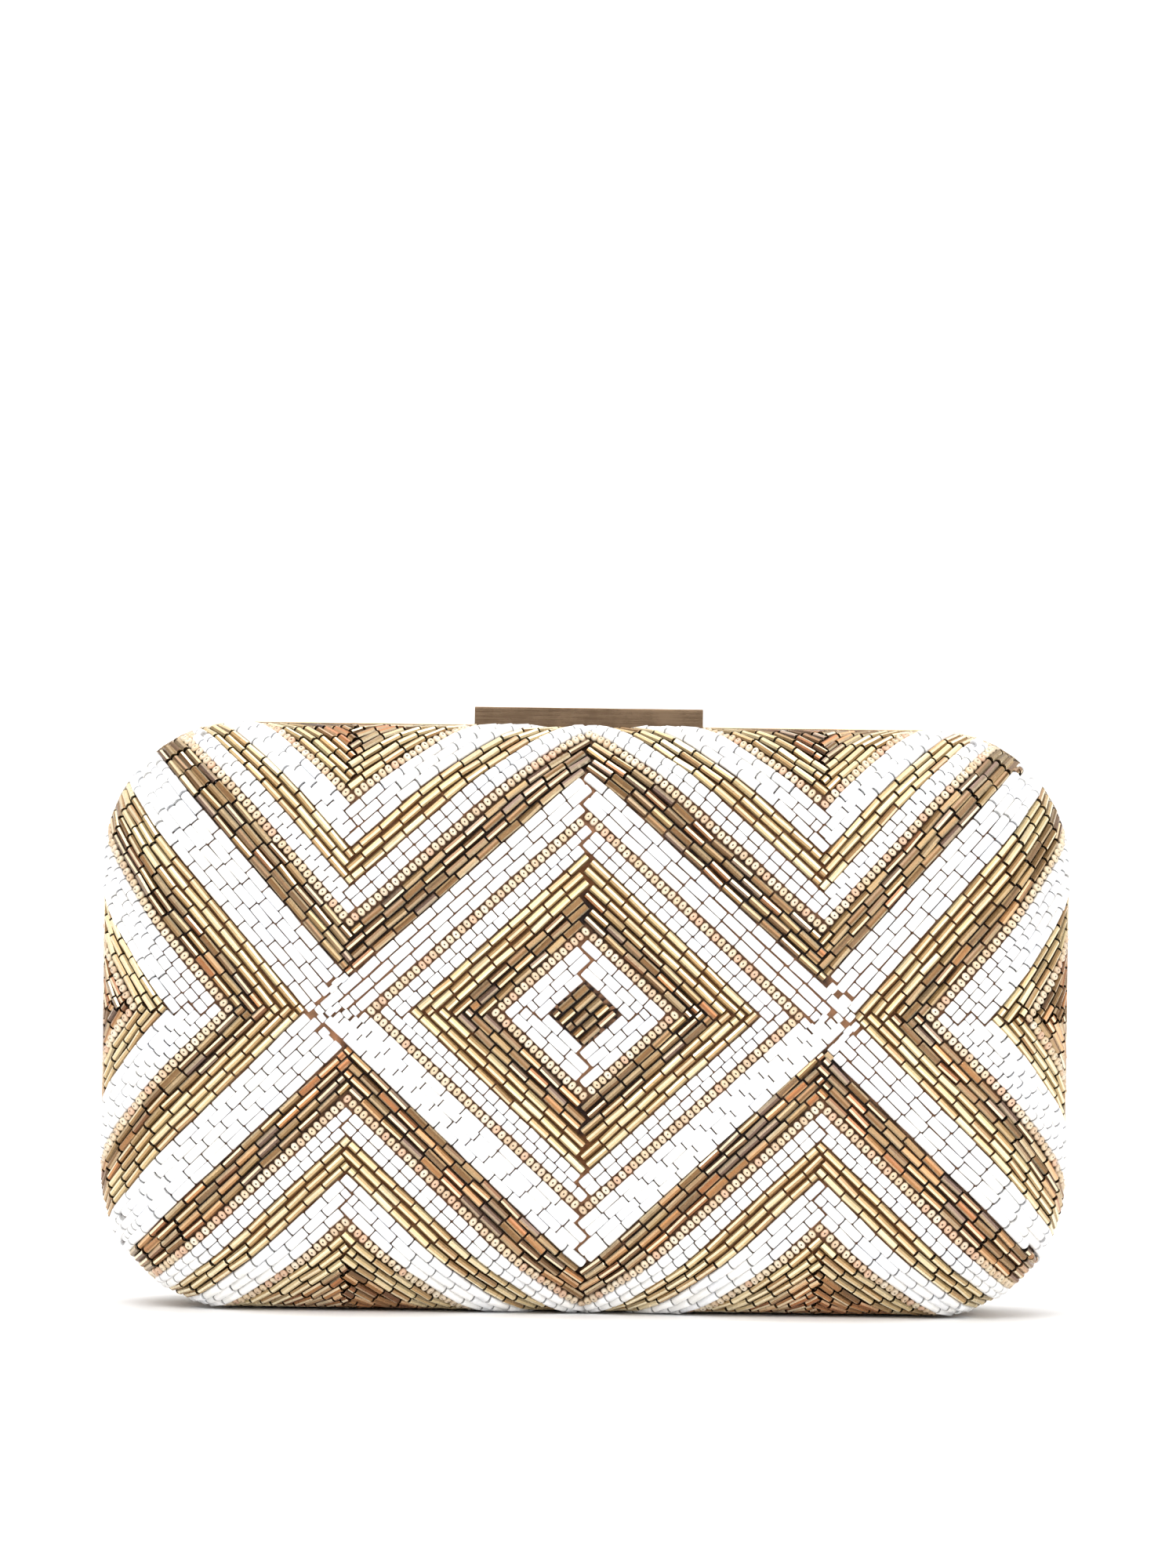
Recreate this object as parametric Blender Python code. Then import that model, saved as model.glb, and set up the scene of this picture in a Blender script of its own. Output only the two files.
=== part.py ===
"""Evening bag: a hard, beaded box clutch.

Two domed half cases sit in a pair of metal frame rails. The rails are hinged along the bottom
and held together on top by a sprung bar that lifts. X runs along the width, Y from front to
back and Z up. The origin is under the middle of the closed bag, on the surface it stands on.
"""

import math

import bmesh
import bpy
from mathutils import Matrix, Vector

MM = 0.001

# The closed bag.
WIDTH = 210 * MM
HEIGHT = 127.5 * MM
DEPTH = 50 * MM
CORNER_RADIUS = 30 * MM
CROWN = 1.0 * MM
EDGE_ROUNDING = 15 * MM

# Frame rails: a channel that is open away from the parting plane.
PARTING_GAP = 0.3 * MM
RAIL_DEPTH = 3.9 * MM
RAIL_WALL = 0.8 * MM
RAIL_CHAMFER = 0.25 * MM
CLEARANCE = 0.3 * MM
RIM_START = 2.5 * MM

# Layers of each half case, from the outside in.
PANEL_THICKNESS = 2.0 * MM
PADDING_THICKNESS = 0.8 * MM
SHELL_THICKNESS = 1.5 * MM
LINING_THICKNESS = 0.6 * MM

# Slip pocket on the rear lining.
POCKET_WIDTH = 110 * MM
POCKET_HEIGHT = 54 * MM
POCKET_THICKNESS = 0.6 * MM
POCKET_CORNER = 8 * MM

# Hinges at the bottom.
HINGE_OPENING = math.radians(55)
HINGE_SPACING = 120 * MM
HINGE_LENGTH = 14 * MM
HINGE_AXIS_HEIGHT = 1.2 * MM
KNUCKLE_RADIUS = 1.05 * MM
HINGE_PIN_RADIUS = 0.45 * MM
HINGE_PIN_CLEARANCE = 0.25 * MM
MIDDLE_KNUCKLE = 5.4 * MM
LEAF_THICKNESS = 0.5 * MM
LEAF_HEIGHT = 4.9 * MM
LEAF_RIVET_SPACING = 9 * MM

# Rivets.
RIVET_RADIUS = 0.5 * MM
RIVET_HOLE_CLEARANCE = 0.3 * MM
RIVET_HEAD_RADIUS = 0.95 * MM
RIVET_HEAD_HEIGHT = 0.3 * MM
RIVET_SEAT = 0.2 * MM

# Clasp on top.
BAR_LENGTH = 49.7 * MM
BAR_TOP = 3.7 * MM
BAR_LIP = 0.6 * MM
BAR_LIP_WALL = 0.9 * MM
BAR_END_WALL = 0.9 * MM
BAR_TOP_WALL = 0.6 * MM
BAR_REAR_WALL = 0.6 * MM
BAR_REAR = 4.4 * MM
BAR_EDGE = 0.25 * MM
BAR_UNDERSIDE = 0.4 * MM
PLATE_THICKNESS = 0.5 * MM
PLATE_INNER = 0.5 * MM
PLATE_OUTER = 3.2 * MM
BASE_LENGTH = 45 * MM
STRIKER_LENGTH = 40 * MM
PLATE_RIVET_SPACING = 24 * MM
CLASP_PIN_RADIUS = 0.4 * MM
CLASP_PIN_Y = 2.5 * MM
CLASP_PIN_RISE = 1.85 * MM
CLASP_BORE_CLEARANCE = 0.2 * MM
EAR_WALL = 0.35 * MM
EAR_THICKNESS = 1.0 * MM
SPRING_WIRE_RADIUS = 0.14 * MM
SPRING_GAP = 0.21 * MM
SPRING_LENGTH = 8 * MM
SPRING_TURNS = 8

# Fineness of the faceted curves.
CORNER_STEPS = 10
EDGE_STEPS = 6
ROUND_STEPS = 16
SPRING_STEPS = 10

FRONT, REAR = -1, 1
CENTRE_HEIGHT = HEIGHT / 2
PANEL_INSET = RAIL_WALL + CLEARANCE
PADDING_OFFSET = PANEL_THICKNESS + CLEARANCE
SHELL_OFFSET = PADDING_OFFSET + PADDING_THICKNESS + CLEARANCE
LINING_OFFSET = SHELL_OFFSET + SHELL_THICKNESS + CLEARANCE
RAIL_INNER_WALL = PANEL_INSET + LINING_OFFSET
RAIL_INNER_DEPTH = RAIL_DEPTH - 0.7 * MM
LINING_START = RAIL_INNER_DEPTH + CLEARANCE
DOME_RISE = DEPTH / 2 - CROWN - RAIL_DEPTH
WEB_INNER = PARTING_GAP / 2
WEB_OUTER = WEB_INNER + RAIL_WALL
LEAF_INNER = WEB_OUTER + CLEARANCE
LEAF_OUTER = LEAF_INNER + LEAF_THICKNESS
LEAF_BOTTOM = RAIL_WALL + CLEARANCE
RIVET_HOLE_RADIUS = RIVET_RADIUS + RIVET_HOLE_CLEARANCE
PLATE_MIDDLE = (PLATE_INNER + PLATE_OUTER) / 2
PLATE_BASE = HEIGHT + CLEARANCE
PLATE_TOP = PLATE_BASE + PLATE_THICKNESS
CLASP_PIN_Z = HEIGHT + CLASP_PIN_RISE
CLASP_BORE_RADIUS = CLASP_PIN_RADIUS + CLASP_BORE_CLEARANCE
BAR_INNER_FRONT = -RAIL_DEPTH - CLEARANCE

COLOURS = {
    "gold_metal": ((0.72, 0.56, 0.38), 0.22, 1.0),
    "steel": ((0.62, 0.60, 0.57), 0.35, 1.0),
    "beadwork": ((0.66, 0.55, 0.42), 0.25, 0.3),
    "foam": ((0.85, 0.83, 0.78), 0.9, 0.0),
    "shell_board": ((0.30, 0.24, 0.19), 0.6, 0.0),
    "satin": ((0.60, 0.42, 0.28), 0.5, 0.0),
}


def clear_scene():
    """Remove whatever the scene holds."""
    for old in list(bpy.data.objects):
        bpy.data.objects.remove(old)


def material(name):
    """Return the named material, making it the first time."""
    found = bpy.data.materials.get(name)
    if found:
        return found
    colour, roughness, metallic = COLOURS[name]
    found = bpy.data.materials.new(name)
    found.use_nodes = True
    shader = found.node_tree.nodes["Principled BSDF"]
    shader.inputs["Base Color"].default_value = (*colour, 1)
    shader.inputs["Roughness"].default_value = roughness
    shader.inputs["Metallic"].default_value = metallic
    return found


def add_object(name, bm, look, parent, origin=(0, 0, 0)):
    """Turn a bmesh drawn in bag coordinates into an object whose origin is where it turns."""
    bmesh.ops.recalc_face_normals(bm, faces=bm.faces)
    bm.transform(Matrix.Translation(-Vector(origin)))
    mesh = bpy.data.meshes.new(name)
    bm.to_mesh(mesh)
    bm.free()
    mesh.shade_smooth()
    mesh.set_sharp_from_angle(angle=math.radians(35))
    thing = bpy.data.objects.new(name, mesh)
    bpy.context.scene.collection.objects.link(thing)
    thing.data.materials.append(material(look))
    thing.parent = parent
    thing.location = Vector(origin) - parent_place(parent)
    return thing


def parent_place(parent):
    """Return where the parent empty stands in the bag."""
    return parent.location.copy() if parent else Vector()


def add_empty(name, location):
    """Add an empty that marks the axis of a moving body."""
    empty = bpy.data.objects.new(name, None)
    empty.location = location
    bpy.context.scene.collection.objects.link(empty)
    return empty


def combine(thing, bm, name, operation):
    """Add a Boolean of the solid in bm to thing, keeping that solid as a hidden helper."""
    helper = add_object(name, bm, "steel", None)
    helper.hide_render = True
    helper.display_type = "WIRE"
    modifier = thing.modifiers.new(name, "BOOLEAN")
    modifier.operation = operation
    modifier.solver = "EXACT"
    modifier.object = helper


def outline(inset):
    """Return the bag's rounded outline as (x, z) points, moved inwards by inset."""
    half_width = WIDTH / 2
    half_height = HEIGHT / 2
    radius = CORNER_RADIUS - inset
    points = []
    for quarter in range(4):
        turn = quarter * math.pi / 2
        side_x = 1 if quarter in (0, 3) else -1
        side_z = 1 if quarter in (0, 1) else -1
        centre_x = side_x * (half_width - CORNER_RADIUS)
        centre_z = side_z * (half_height - CORNER_RADIUS)
        for step in range(CORNER_STEPS + 1):
            angle = turn + step / CORNER_STEPS * math.pi / 2
            points.append(
                (centre_x + radius * math.cos(angle), centre_z + radius * math.sin(angle))
            )
        if quarter % 2 == 0:
            points.append((0, side_z * (half_height - inset)))
        else:
            points.append((side_x * (half_width - inset), 0))
    return [(x, z + CENTRE_HEIGHT) for x, z in points]


def ring_at(bm, side, inset, depth, scale=1):
    """Add the outline's points at a depth from the parting plane."""
    return [
        bm.verts.new(
            (x * scale, side * depth, CENTRE_HEIGHT + (z - CENTRE_HEIGHT) * scale)
        )
        for x, z in outline(inset)
    ]


def bridge(bm, first, second):
    """Join two rings of the same length with quads."""
    count = len(first)
    for i in range(count):
        after = (i + 1) % count
        bm.faces.new((first[i], first[after], second[after], second[i]))


def dome_surface(bm, side, offset, start):
    """Add one surface of a layer, at an offset inside the bag's outer skin. Return its rim."""
    in_plane = EDGE_ROUNDING - offset
    rise = DOME_RISE - offset
    rim = ring_at(bm, side, PANEL_INSET + offset, start)
    last = rim
    for step in range(EDGE_STEPS + 1):
        angle = step / EDGE_STEPS * math.pi / 2
        inset = PANEL_INSET + offset + in_plane * (1 - math.cos(angle))
        ring = ring_at(bm, side, inset, RAIL_DEPTH + rise * math.sin(angle))
        bridge(bm, last, ring)
        last = ring
    flat = RAIL_DEPTH + rise
    middle = ring_at(bm, side, PANEL_INSET + EDGE_ROUNDING, flat + 0.75 * CROWN, 0.5)
    bridge(bm, last, middle)
    peak = bm.verts.new((0, side * (flat + CROWN), CENTRE_HEIGHT))
    for i in range(len(middle)):
        bm.faces.new((middle[i], middle[(i + 1) % len(middle)], peak))
    return rim


def add_layer(name, side, offset, thickness, start, look, parent):
    """Add one layer of a half case: a closed dish of even thickness."""
    bm = bmesh.new()
    outer = dome_surface(bm, side, offset, start)
    inner = dome_surface(bm, side, offset + thickness, start)
    bridge(bm, outer, inner)
    return add_object(name, bm, look, parent)


def prism(bm, profile, low, high, axis="X"):
    """Add a prism of a closed profile between two places on an axis.

    The profile holds (y, z) points for X and (x, z) points for Y.
    """
    ends = []
    for place in (low, high):
        if axis == "X":
            points = [(place, a, b) for a, b in profile]
        else:
            points = [(a, place, b) for a, b in profile]
        ends.append([bm.verts.new(point) for point in points])
    bridge(bm, *ends)
    bm.faces.new(ends[0])
    bm.faces.new(list(reversed(ends[1])))


def box(bm, low, high):
    """Add a box between two corners."""
    profile = [(low[1], low[2]), (high[1], low[2]), (high[1], high[2]), (low[1], high[2])]
    prism(bm, profile, low[0], high[0])


def circle(middle, radius, steps=ROUND_STEPS):
    """Return a polygon round a middle point."""
    turns = [2 * math.pi * i / steps for i in range(steps)]
    return [
        (middle[0] + radius * math.cos(t), middle[1] + radius * math.sin(t)) for t in turns
    ]


def rod(bm, start, end, radius):
    """Add a rod between two points that differ along one axis only."""
    span = Vector(end) - Vector(start)
    turn = Vector((0, 0, 1)).rotation_difference(span.normalized()).to_matrix().to_4x4()
    place = Matrix.Translation((Vector(start) + Vector(end)) / 2) @ turn
    bmesh.ops.create_cone(
        bm,
        cap_ends=True,
        segments=ROUND_STEPS,
        radius1=radius,
        radius2=radius,
        depth=span.length,
        matrix=place,
    )


def hinge_places():
    """Return the middle of each hinge along the width, with its name."""
    return (("left", -HINGE_SPACING / 2), ("right", HINGE_SPACING / 2))


def leaf_rivet_places(middle):
    """Return the x of each rivet of a hinge leaf."""
    return (middle - LEAF_RIVET_SPACING / 2, middle + LEAF_RIVET_SPACING / 2)


def leaf_rivet_height():
    """Return the height of the leaf rivets, midway up the free part of the leaf."""
    return LEAF_BOTTOM + 0.66 * LEAF_HEIGHT


def add_rail(name, side, parent):
    """Add a frame rail: the channel, relieved for the hinges, the opening and the rivets."""
    bm = bmesh.new()
    inner_top = RAIL_INNER_WALL + RAIL_WALL
    section = (
        (0, WEB_INNER),
        (0, RAIL_DEPTH - RAIL_CHAMFER),
        (RAIL_CHAMFER, RAIL_DEPTH),
        (RAIL_WALL, RAIL_DEPTH),
        (RAIL_WALL, WEB_OUTER),
        (RAIL_INNER_WALL, WEB_OUTER),
        (RAIL_INNER_WALL, RAIL_INNER_DEPTH),
        (inner_top, RAIL_INNER_DEPTH),
        (inner_top, WEB_INNER),
    )
    rings = [ring_at(bm, side, inset, depth) for inset, depth in section]
    for i, ring in enumerate(rings):
        bridge(bm, ring, rings[(i + 1) % len(rings)])
    rail = add_object(name, bm, "gold_metal", parent)
    combine(rail, opening_relief(), name + "_opening_relief", "DIFFERENCE")
    combine(rail, hinge_notches(), name + "_hinge_notches", "DIFFERENCE")
    combine(rail, rail_holes(side), name + "_rivet_holes", "DIFFERENCE")
    return rail


def opening_relief():
    """Return the wedge cut under the hinge axis, so that the rails can turn until they stop."""
    bm = bmesh.new()
    slope = math.tan(HINGE_OPENING / 2)
    apex = HINGE_AXIS_HEIGHT + WEB_INNER / slope
    below = -1 * MM
    reach = (apex - below) * slope
    profile = ((0, apex), (-reach, below), (reach, below))
    prism(bm, profile, -WIDTH, WIDTH)
    return bm


def hinge_notches():
    """Return the boxes cut from the rails round each hinge barrel."""
    bm = bmesh.new()
    half = HINGE_LENGTH / 2 + CLEARANCE
    reach = LEAF_OUTER + CLEARANCE
    top = HINGE_AXIS_HEIGHT + KNUCKLE_RADIUS + CLEARANCE
    for _, middle in hinge_places():
        box(bm, (middle - half, -reach, -1 * MM), (middle + half, reach, top))
    return bm


def rail_holes(side):
    """Return the rods cut from a rail for the rivets of the hinge leaves and of the clasp."""
    bm = bmesh.new()
    height = leaf_rivet_height()
    for _, middle in hinge_places():
        for x in leaf_rivet_places(middle):
            ends = ((x, side * place, height) for place in (0, LEAF_INNER))
            rod(bm, *ends, RIVET_HOLE_RADIUS)
    for x in (-PLATE_RIVET_SPACING / 2, PLATE_RIVET_SPACING / 2):
        y = side * PLATE_MIDDLE
        low = HEIGHT - RAIL_WALL - 0.5 * CLEARANCE
        rod(bm, (x, y, low), (x, y, HEIGHT + CLEARANCE), RIVET_HOLE_RADIUS)
    return bm


def knuckle_section(side):
    """Return the profile of a knuckle with the strip that joins it to its leaf."""
    half_strip = 0.5 * LEAF_THICKNESS
    turn = math.asin(half_strip / KNUCKLE_RADIUS)
    span = 2 * math.pi - 2 * turn
    points = []
    for step in range(ROUND_STEPS + 1):
        angle = turn + span * step / ROUND_STEPS
        y = side * KNUCKLE_RADIUS * math.cos(angle)
        points.append((y, KNUCKLE_RADIUS * math.sin(angle)))
    strip_end = LEAF_OUTER - 0.5 * LEAF_THICKNESS
    points.append((side * strip_end, -half_strip))
    points.append((side * strip_end, half_strip))
    return [(y, HINGE_AXIS_HEIGHT + z) for y, z in points]


def add_hinge_leaf(name, side, middle, parent, pivot):
    """Add a hinge leaf: a plate in the rail's channel with its knuckles round the pin."""
    bm = bmesh.new()
    low_y, high_y = sorted((side * LEAF_INNER, side * LEAF_OUTER))
    bottom = HINGE_AXIS_HEIGHT - 0.5 * LEAF_THICKNESS
    half = HINGE_LENGTH / 2
    top = LEAF_BOTTOM + LEAF_HEIGHT
    box(bm, (middle - half, low_y, bottom), (middle + half, high_y, top))
    leaf = add_object(name, bm, "steel", parent, pivot)
    knuckles = bmesh.new()
    if side == FRONT:
        inner = MIDDLE_KNUCKLE / 2 + CLEARANCE
        spans = ((middle - half, middle - inner), (middle + inner, middle + half))
    else:
        spans = ((middle - MIDDLE_KNUCKLE / 2, middle + MIDDLE_KNUCKLE / 2),)
    for low, high in spans:
        prism(knuckles, knuckle_section(side), low, high)
    combine(leaf, knuckles, name + "_knuckles", "UNION")
    bores = bmesh.new()
    start = (middle - half - 1 * MM, 0, HINGE_AXIS_HEIGHT)
    end = (middle + half + 1 * MM, 0, HINGE_AXIS_HEIGHT)
    rod(bores, start, end, HINGE_PIN_RADIUS + HINGE_PIN_CLEARANCE)
    for x in leaf_rivet_places(middle):
        places = (WEB_OUTER, LEAF_OUTER + CLEARANCE)
        ends = ((x, side * place, leaf_rivet_height()) for place in places)
        rod(bores, *ends, RIVET_HOLE_RADIUS)
    combine(leaf, bores, name + "_bores", "DIFFERENCE")
    return leaf


def add_rod(name, start, end, radius, look, parent, pivot=(0, 0, 0)):
    """Add a plain pin."""
    bm = bmesh.new()
    rod(bm, start, end, radius)
    return add_object(name, bm, look, parent, pivot)


def add_rivet(name, foot, seat, direction, look, parent):
    """Add a rivet: a shank from its foot to the seat of its head, and the head past that."""
    bm = bmesh.new()
    axis = Vector(direction)
    top = Vector(seat) + axis * RIVET_HEAD_HEIGHT
    steps = (
        (Vector(foot), RIVET_RADIUS),
        (Vector(seat), RIVET_RADIUS),
        (Vector(seat), RIVET_HEAD_RADIUS),
        (top - axis * RIVET_HEAD_HEIGHT * 0.4, RIVET_HEAD_RADIUS),
        (top, RIVET_HEAD_RADIUS * 0.7),
    )
    turn = Vector((0, 0, 1)).rotation_difference(axis).to_matrix()
    rings = []
    for place, radius in steps:
        circle_points = circle((0, 0), radius, 12)
        rings.append([bm.verts.new(place + turn @ Vector((x, y, 0))) for x, y in circle_points])
    for first, second in zip(rings, rings[1:], strict=False):
        bridge(bm, first, second)
    bm.faces.new(rings[0])
    bm.faces.new(rings[-1])
    return add_object(name, bm, look, parent)


def add_hinges(bodies):
    """Add both hinges with their pins and rivets."""
    pivot = (0, 0, HINGE_AXIS_HEIGHT)
    for place, middle in hinge_places():
        for half, side in (("front", FRONT), ("rear", REAR)):
            parent = bodies[side]
            add_hinge_leaf(f"hinge_leaf_{half}_{place}", side, middle, parent, pivot)
            seat = LEAF_OUTER + RIVET_SEAT
            foot = WEB_INNER + 0.5 * RIVET_SEAT
            for number, x in enumerate(leaf_rivet_places(middle), 1):
                height = leaf_rivet_height()
                add_rivet(
                    f"hinge_rivet_{half}_{place}_{number}",
                    (x, side * foot, height),
                    (x, side * seat, height),
                    (0, side, 0),
                    "steel",
                    parent,
                )
        half_length = HINGE_LENGTH / 2
        start = (middle - half_length, 0, HINGE_AXIS_HEIGHT)
        end = (middle + half_length, 0, HINGE_AXIS_HEIGHT)
        add_rod(f"hinge_pin_{place}", start, end, HINGE_PIN_RADIUS, "steel", bodies[FRONT])


def plate_holes(side):
    """Return the rods cut from a clasp plate for its rivets."""
    bm = bmesh.new()
    for x in (-PLATE_RIVET_SPACING / 2, PLATE_RIVET_SPACING / 2):
        y = side * PLATE_MIDDLE
        rod(bm, (x, y, HEIGHT), (x, y, PLATE_TOP + CLEARANCE), RIVET_HOLE_RADIUS)
    return bm


def add_plate_rivets(name, side, parent):
    """Add the two rivets that hold a clasp plate on its rail."""
    foot = HEIGHT - RAIL_WALL + 0.05 * MM
    seat = PLATE_TOP + RIVET_SEAT
    for number, x in enumerate((-PLATE_RIVET_SPACING / 2, PLATE_RIVET_SPACING / 2), 1):
        y = side * PLATE_MIDDLE
        add_rivet(f"{name}_{number}", (x, y, foot), (x, y, seat), (0, 0, 1), "gold_metal", parent)


def add_striker(parent):
    """Add the plate on the front rail that the bar closes over."""
    bm = bmesh.new()
    half = STRIKER_LENGTH / 2
    box(bm, (-half, -PLATE_OUTER, PLATE_BASE), (half, -PLATE_INNER, PLATE_TOP))
    striker = add_object("striker_plate", bm, "gold_metal", parent)
    combine(striker, plate_holes(FRONT), "striker_rivet_holes", "DIFFERENCE")
    add_plate_rivets("striker_rivet", FRONT, parent)


def ear_places():
    """Return the x of the outer face of each ear of the clasp base."""
    outer = BASE_LENGTH / 2 - EAR_THICKNESS
    return (-outer, outer - EAR_THICKNESS)


def add_clasp_base(parent):
    """Add the plate on the rear rail with the two ears that hold the clasp pin."""
    bm = bmesh.new()
    half = BASE_LENGTH / 2
    box(bm, (-half, PLATE_INNER, PLATE_BASE), (half, PLATE_OUTER, PLATE_TOP))
    base = add_object("clasp_base", bm, "gold_metal", parent)
    radius = CLASP_BORE_RADIUS + EAR_WALL
    profile = []
    for step in range(ROUND_STEPS // 2 + 1):
        angle = math.pi * step / (ROUND_STEPS // 2)
        y = CLASP_PIN_Y + radius * math.cos(angle)
        profile.append((y, CLASP_PIN_Z + radius * math.sin(angle)))
    foot = PLATE_BASE + 0.5 * PLATE_THICKNESS
    profile.append((CLASP_PIN_Y - radius, foot))
    profile.append((PLATE_OUTER - 0.1 * MM, foot))
    profile.append((PLATE_OUTER - 0.1 * MM, PLATE_TOP + 0.1 * MM))
    ears = bmesh.new()
    for low in ear_places():
        prism(ears, profile, low, low + EAR_THICKNESS)
    combine(base, ears, "clasp_base_ears", "UNION")
    holes = plate_holes(REAR)
    start = (-half, CLASP_PIN_Y, CLASP_PIN_Z)
    end = (half, CLASP_PIN_Y, CLASP_PIN_Z)
    rod(holes, start, end, CLASP_BORE_RADIUS)
    combine(base, holes, "clasp_base_holes", "DIFFERENCE")
    add_plate_rivets("clasp_base_rivet", REAR, parent)
    reach = BAR_LENGTH / 2 - 0.25 * MM
    start = (-reach, CLASP_PIN_Y, CLASP_PIN_Z)
    end = (reach, CLASP_PIN_Y, CLASP_PIN_Z)
    add_rod("clasp_pin", start, end, CLASP_PIN_RADIUS, "steel", parent)


def add_clasp_bar(parent):
    """Add the bar: a cap that is open below, with a lip in front of the front rail."""
    bm = bmesh.new()
    front = BAR_INNER_FRONT - BAR_LIP_WALL
    top = HEIGHT + BAR_TOP
    under = HEIGHT + BAR_UNDERSIDE
    inner_rear = BAR_REAR - BAR_REAR_WALL
    profile = (
        (front, HEIGHT - BAR_LIP),
        (BAR_INNER_FRONT, HEIGHT - BAR_LIP),
        (BAR_INNER_FRONT, under),
        (CLASP_PIN_Y + 0.1 * MM, under),
        (inner_rear, CLASP_PIN_Z - 0.5 * MM),
        (BAR_REAR, CLASP_PIN_Z - 0.25 * MM),
        (BAR_REAR, top - BAR_EDGE),
        (BAR_REAR - BAR_EDGE, top),
        (front + BAR_EDGE, top),
        (front, top - BAR_EDGE),
    )
    half = BAR_LENGTH / 2
    prism(bm, profile, -half, half)
    pivot = (0, CLASP_PIN_Y, CLASP_PIN_Z)
    bar = add_object("clasp_bar", bm, "gold_metal", parent, pivot)
    pocket = bmesh.new()
    inside = half - BAR_END_WALL
    low = (-inside, BAR_INNER_FRONT, HEIGHT - 2 * BAR_LIP)
    high = (inside, inner_rear, top - BAR_TOP_WALL)
    box(pocket, low, high)
    combine(bar, pocket, "clasp_bar_pocket", "DIFFERENCE")
    bore = bmesh.new()
    start = (-BAR_LENGTH, CLASP_PIN_Y, CLASP_PIN_Z)
    end = (BAR_LENGTH, CLASP_PIN_Y, CLASP_PIN_Z)
    rod(bore, start, end, CLASP_BORE_RADIUS)
    combine(bar, bore, "clasp_bar_bore", "DIFFERENCE")


def spring_points():
    """Return the centre line of the torsion spring, from its lower leg to its upper leg."""
    radius = CLASP_PIN_RADIUS + SPRING_GAP + SPRING_WIRE_RADIUS
    half = SPRING_LENGTH / 2
    turns = SPRING_TURNS + 0.5
    points = [(-half, CLASP_PIN_Y - 1.6 * MM, CLASP_PIN_Z - radius)]
    count = int(turns * SPRING_STEPS)
    for step in range(count + 1):
        share = step / count
        angle = -math.pi / 2 + 2 * math.pi * turns * share
        y = CLASP_PIN_Y + radius * math.cos(angle)
        z = CLASP_PIN_Z + radius * math.sin(angle)
        points.append((-half + SPRING_LENGTH * share, y, z))
    points.append((half, CLASP_PIN_Y - 3.4 * MM, CLASP_PIN_Z + radius))
    return points


def add_spring(parent):
    """Add the torsion spring round the clasp pin."""
    curve = bpy.data.curves.new("clasp_spring", "CURVE")
    curve.dimensions = "3D"
    curve.bevel_depth = SPRING_WIRE_RADIUS
    curve.bevel_resolution = 1
    curve.use_fill_caps = True
    points = spring_points()
    spline = curve.splines.new("POLY")
    spline.points.add(len(points) - 1)
    for target, point in zip(spline.points, points, strict=True):
        target.co = (*point, 1)
    spring = bpy.data.objects.new("clasp_spring", curve)
    bpy.context.scene.collection.objects.link(spring)
    curve.materials.append(material("steel"))
    spring.parent = parent
    spring.location = -parent_place(parent)


def add_slip_pocket(parent):
    """Add the flat pouch on the rear lining."""
    bm = bmesh.new()
    half_x = POCKET_WIDTH / 2 - POCKET_CORNER
    half_z = POCKET_HEIGHT / 2 - POCKET_CORNER
    profile = []
    for quarter in range(4):
        side_x = 1 if quarter in (0, 3) else -1
        side_z = 1 if quarter in (0, 1) else -1
        for step in range(4):
            angle = (quarter + step / 3) * math.pi / 2
            x = side_x * half_x + POCKET_CORNER * math.cos(angle)
            z = side_z * half_z + POCKET_CORNER * math.sin(angle)
            profile.append((x, CENTRE_HEIGHT + z))
    lining_face = RAIL_DEPTH + DOME_RISE - LINING_OFFSET - LINING_THICKNESS
    high = lining_face - CLEARANCE
    prism(bm, profile, high - POCKET_THICKNESS, high, "Y")
    add_object("slip_pocket", bm, "satin", parent)


def add_half_case(name, side, parent):
    """Add a half case: its rail and the four layers that the rail holds."""
    add_rail(name + "_rail", side, parent)
    layers = (
        ("beaded_panel", 0, PANEL_THICKNESS, RIM_START, "beadwork"),
        ("padding", PADDING_OFFSET, PADDING_THICKNESS, RIM_START, "foam"),
        ("shell", SHELL_OFFSET, SHELL_THICKNESS, RIM_START, "shell_board"),
        ("lining", LINING_OFFSET, LINING_THICKNESS, LINING_START, "satin"),
    )
    for layer, offset, thickness, start, look in layers:
        add_layer(f"{name}_{layer}", side, offset, thickness, start, look, parent)


def main():
    """Build the bag."""
    clear_scene()
    front_body = add_empty("front_half", (0, 0, 0))
    rear_body = add_empty("rear_half", (0, 0, HINGE_AXIS_HEIGHT))
    clasp_body = add_empty("clasp", (0, CLASP_PIN_Y, CLASP_PIN_Z))
    bodies = {FRONT: front_body, REAR: rear_body}
    add_half_case("front", FRONT, front_body)
    add_half_case("rear", REAR, rear_body)
    add_slip_pocket(rear_body)
    add_hinges(bodies)
    add_striker(front_body)
    add_clasp_base(rear_body)
    add_spring(rear_body)
    add_clasp_bar(clasp_body)


main()
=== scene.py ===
"""Evening bag with a beaded hard case: the finished looks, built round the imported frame.

The rails, shells, hinges and clasp come from the frame and get their finishes here. The base
cloth, the beads, the foam, the lining and the pocket are made here, in metres, in the same frame:
X along the width, Y from front to back, Z up.
"""

import math

import bpy
import numpy as np
from bpy.props import FloatProperty, FloatVectorProperty, IntProperty, PointerProperty
from mathutils import Matrix, Vector
from mathutils.kdtree import KDTree


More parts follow.
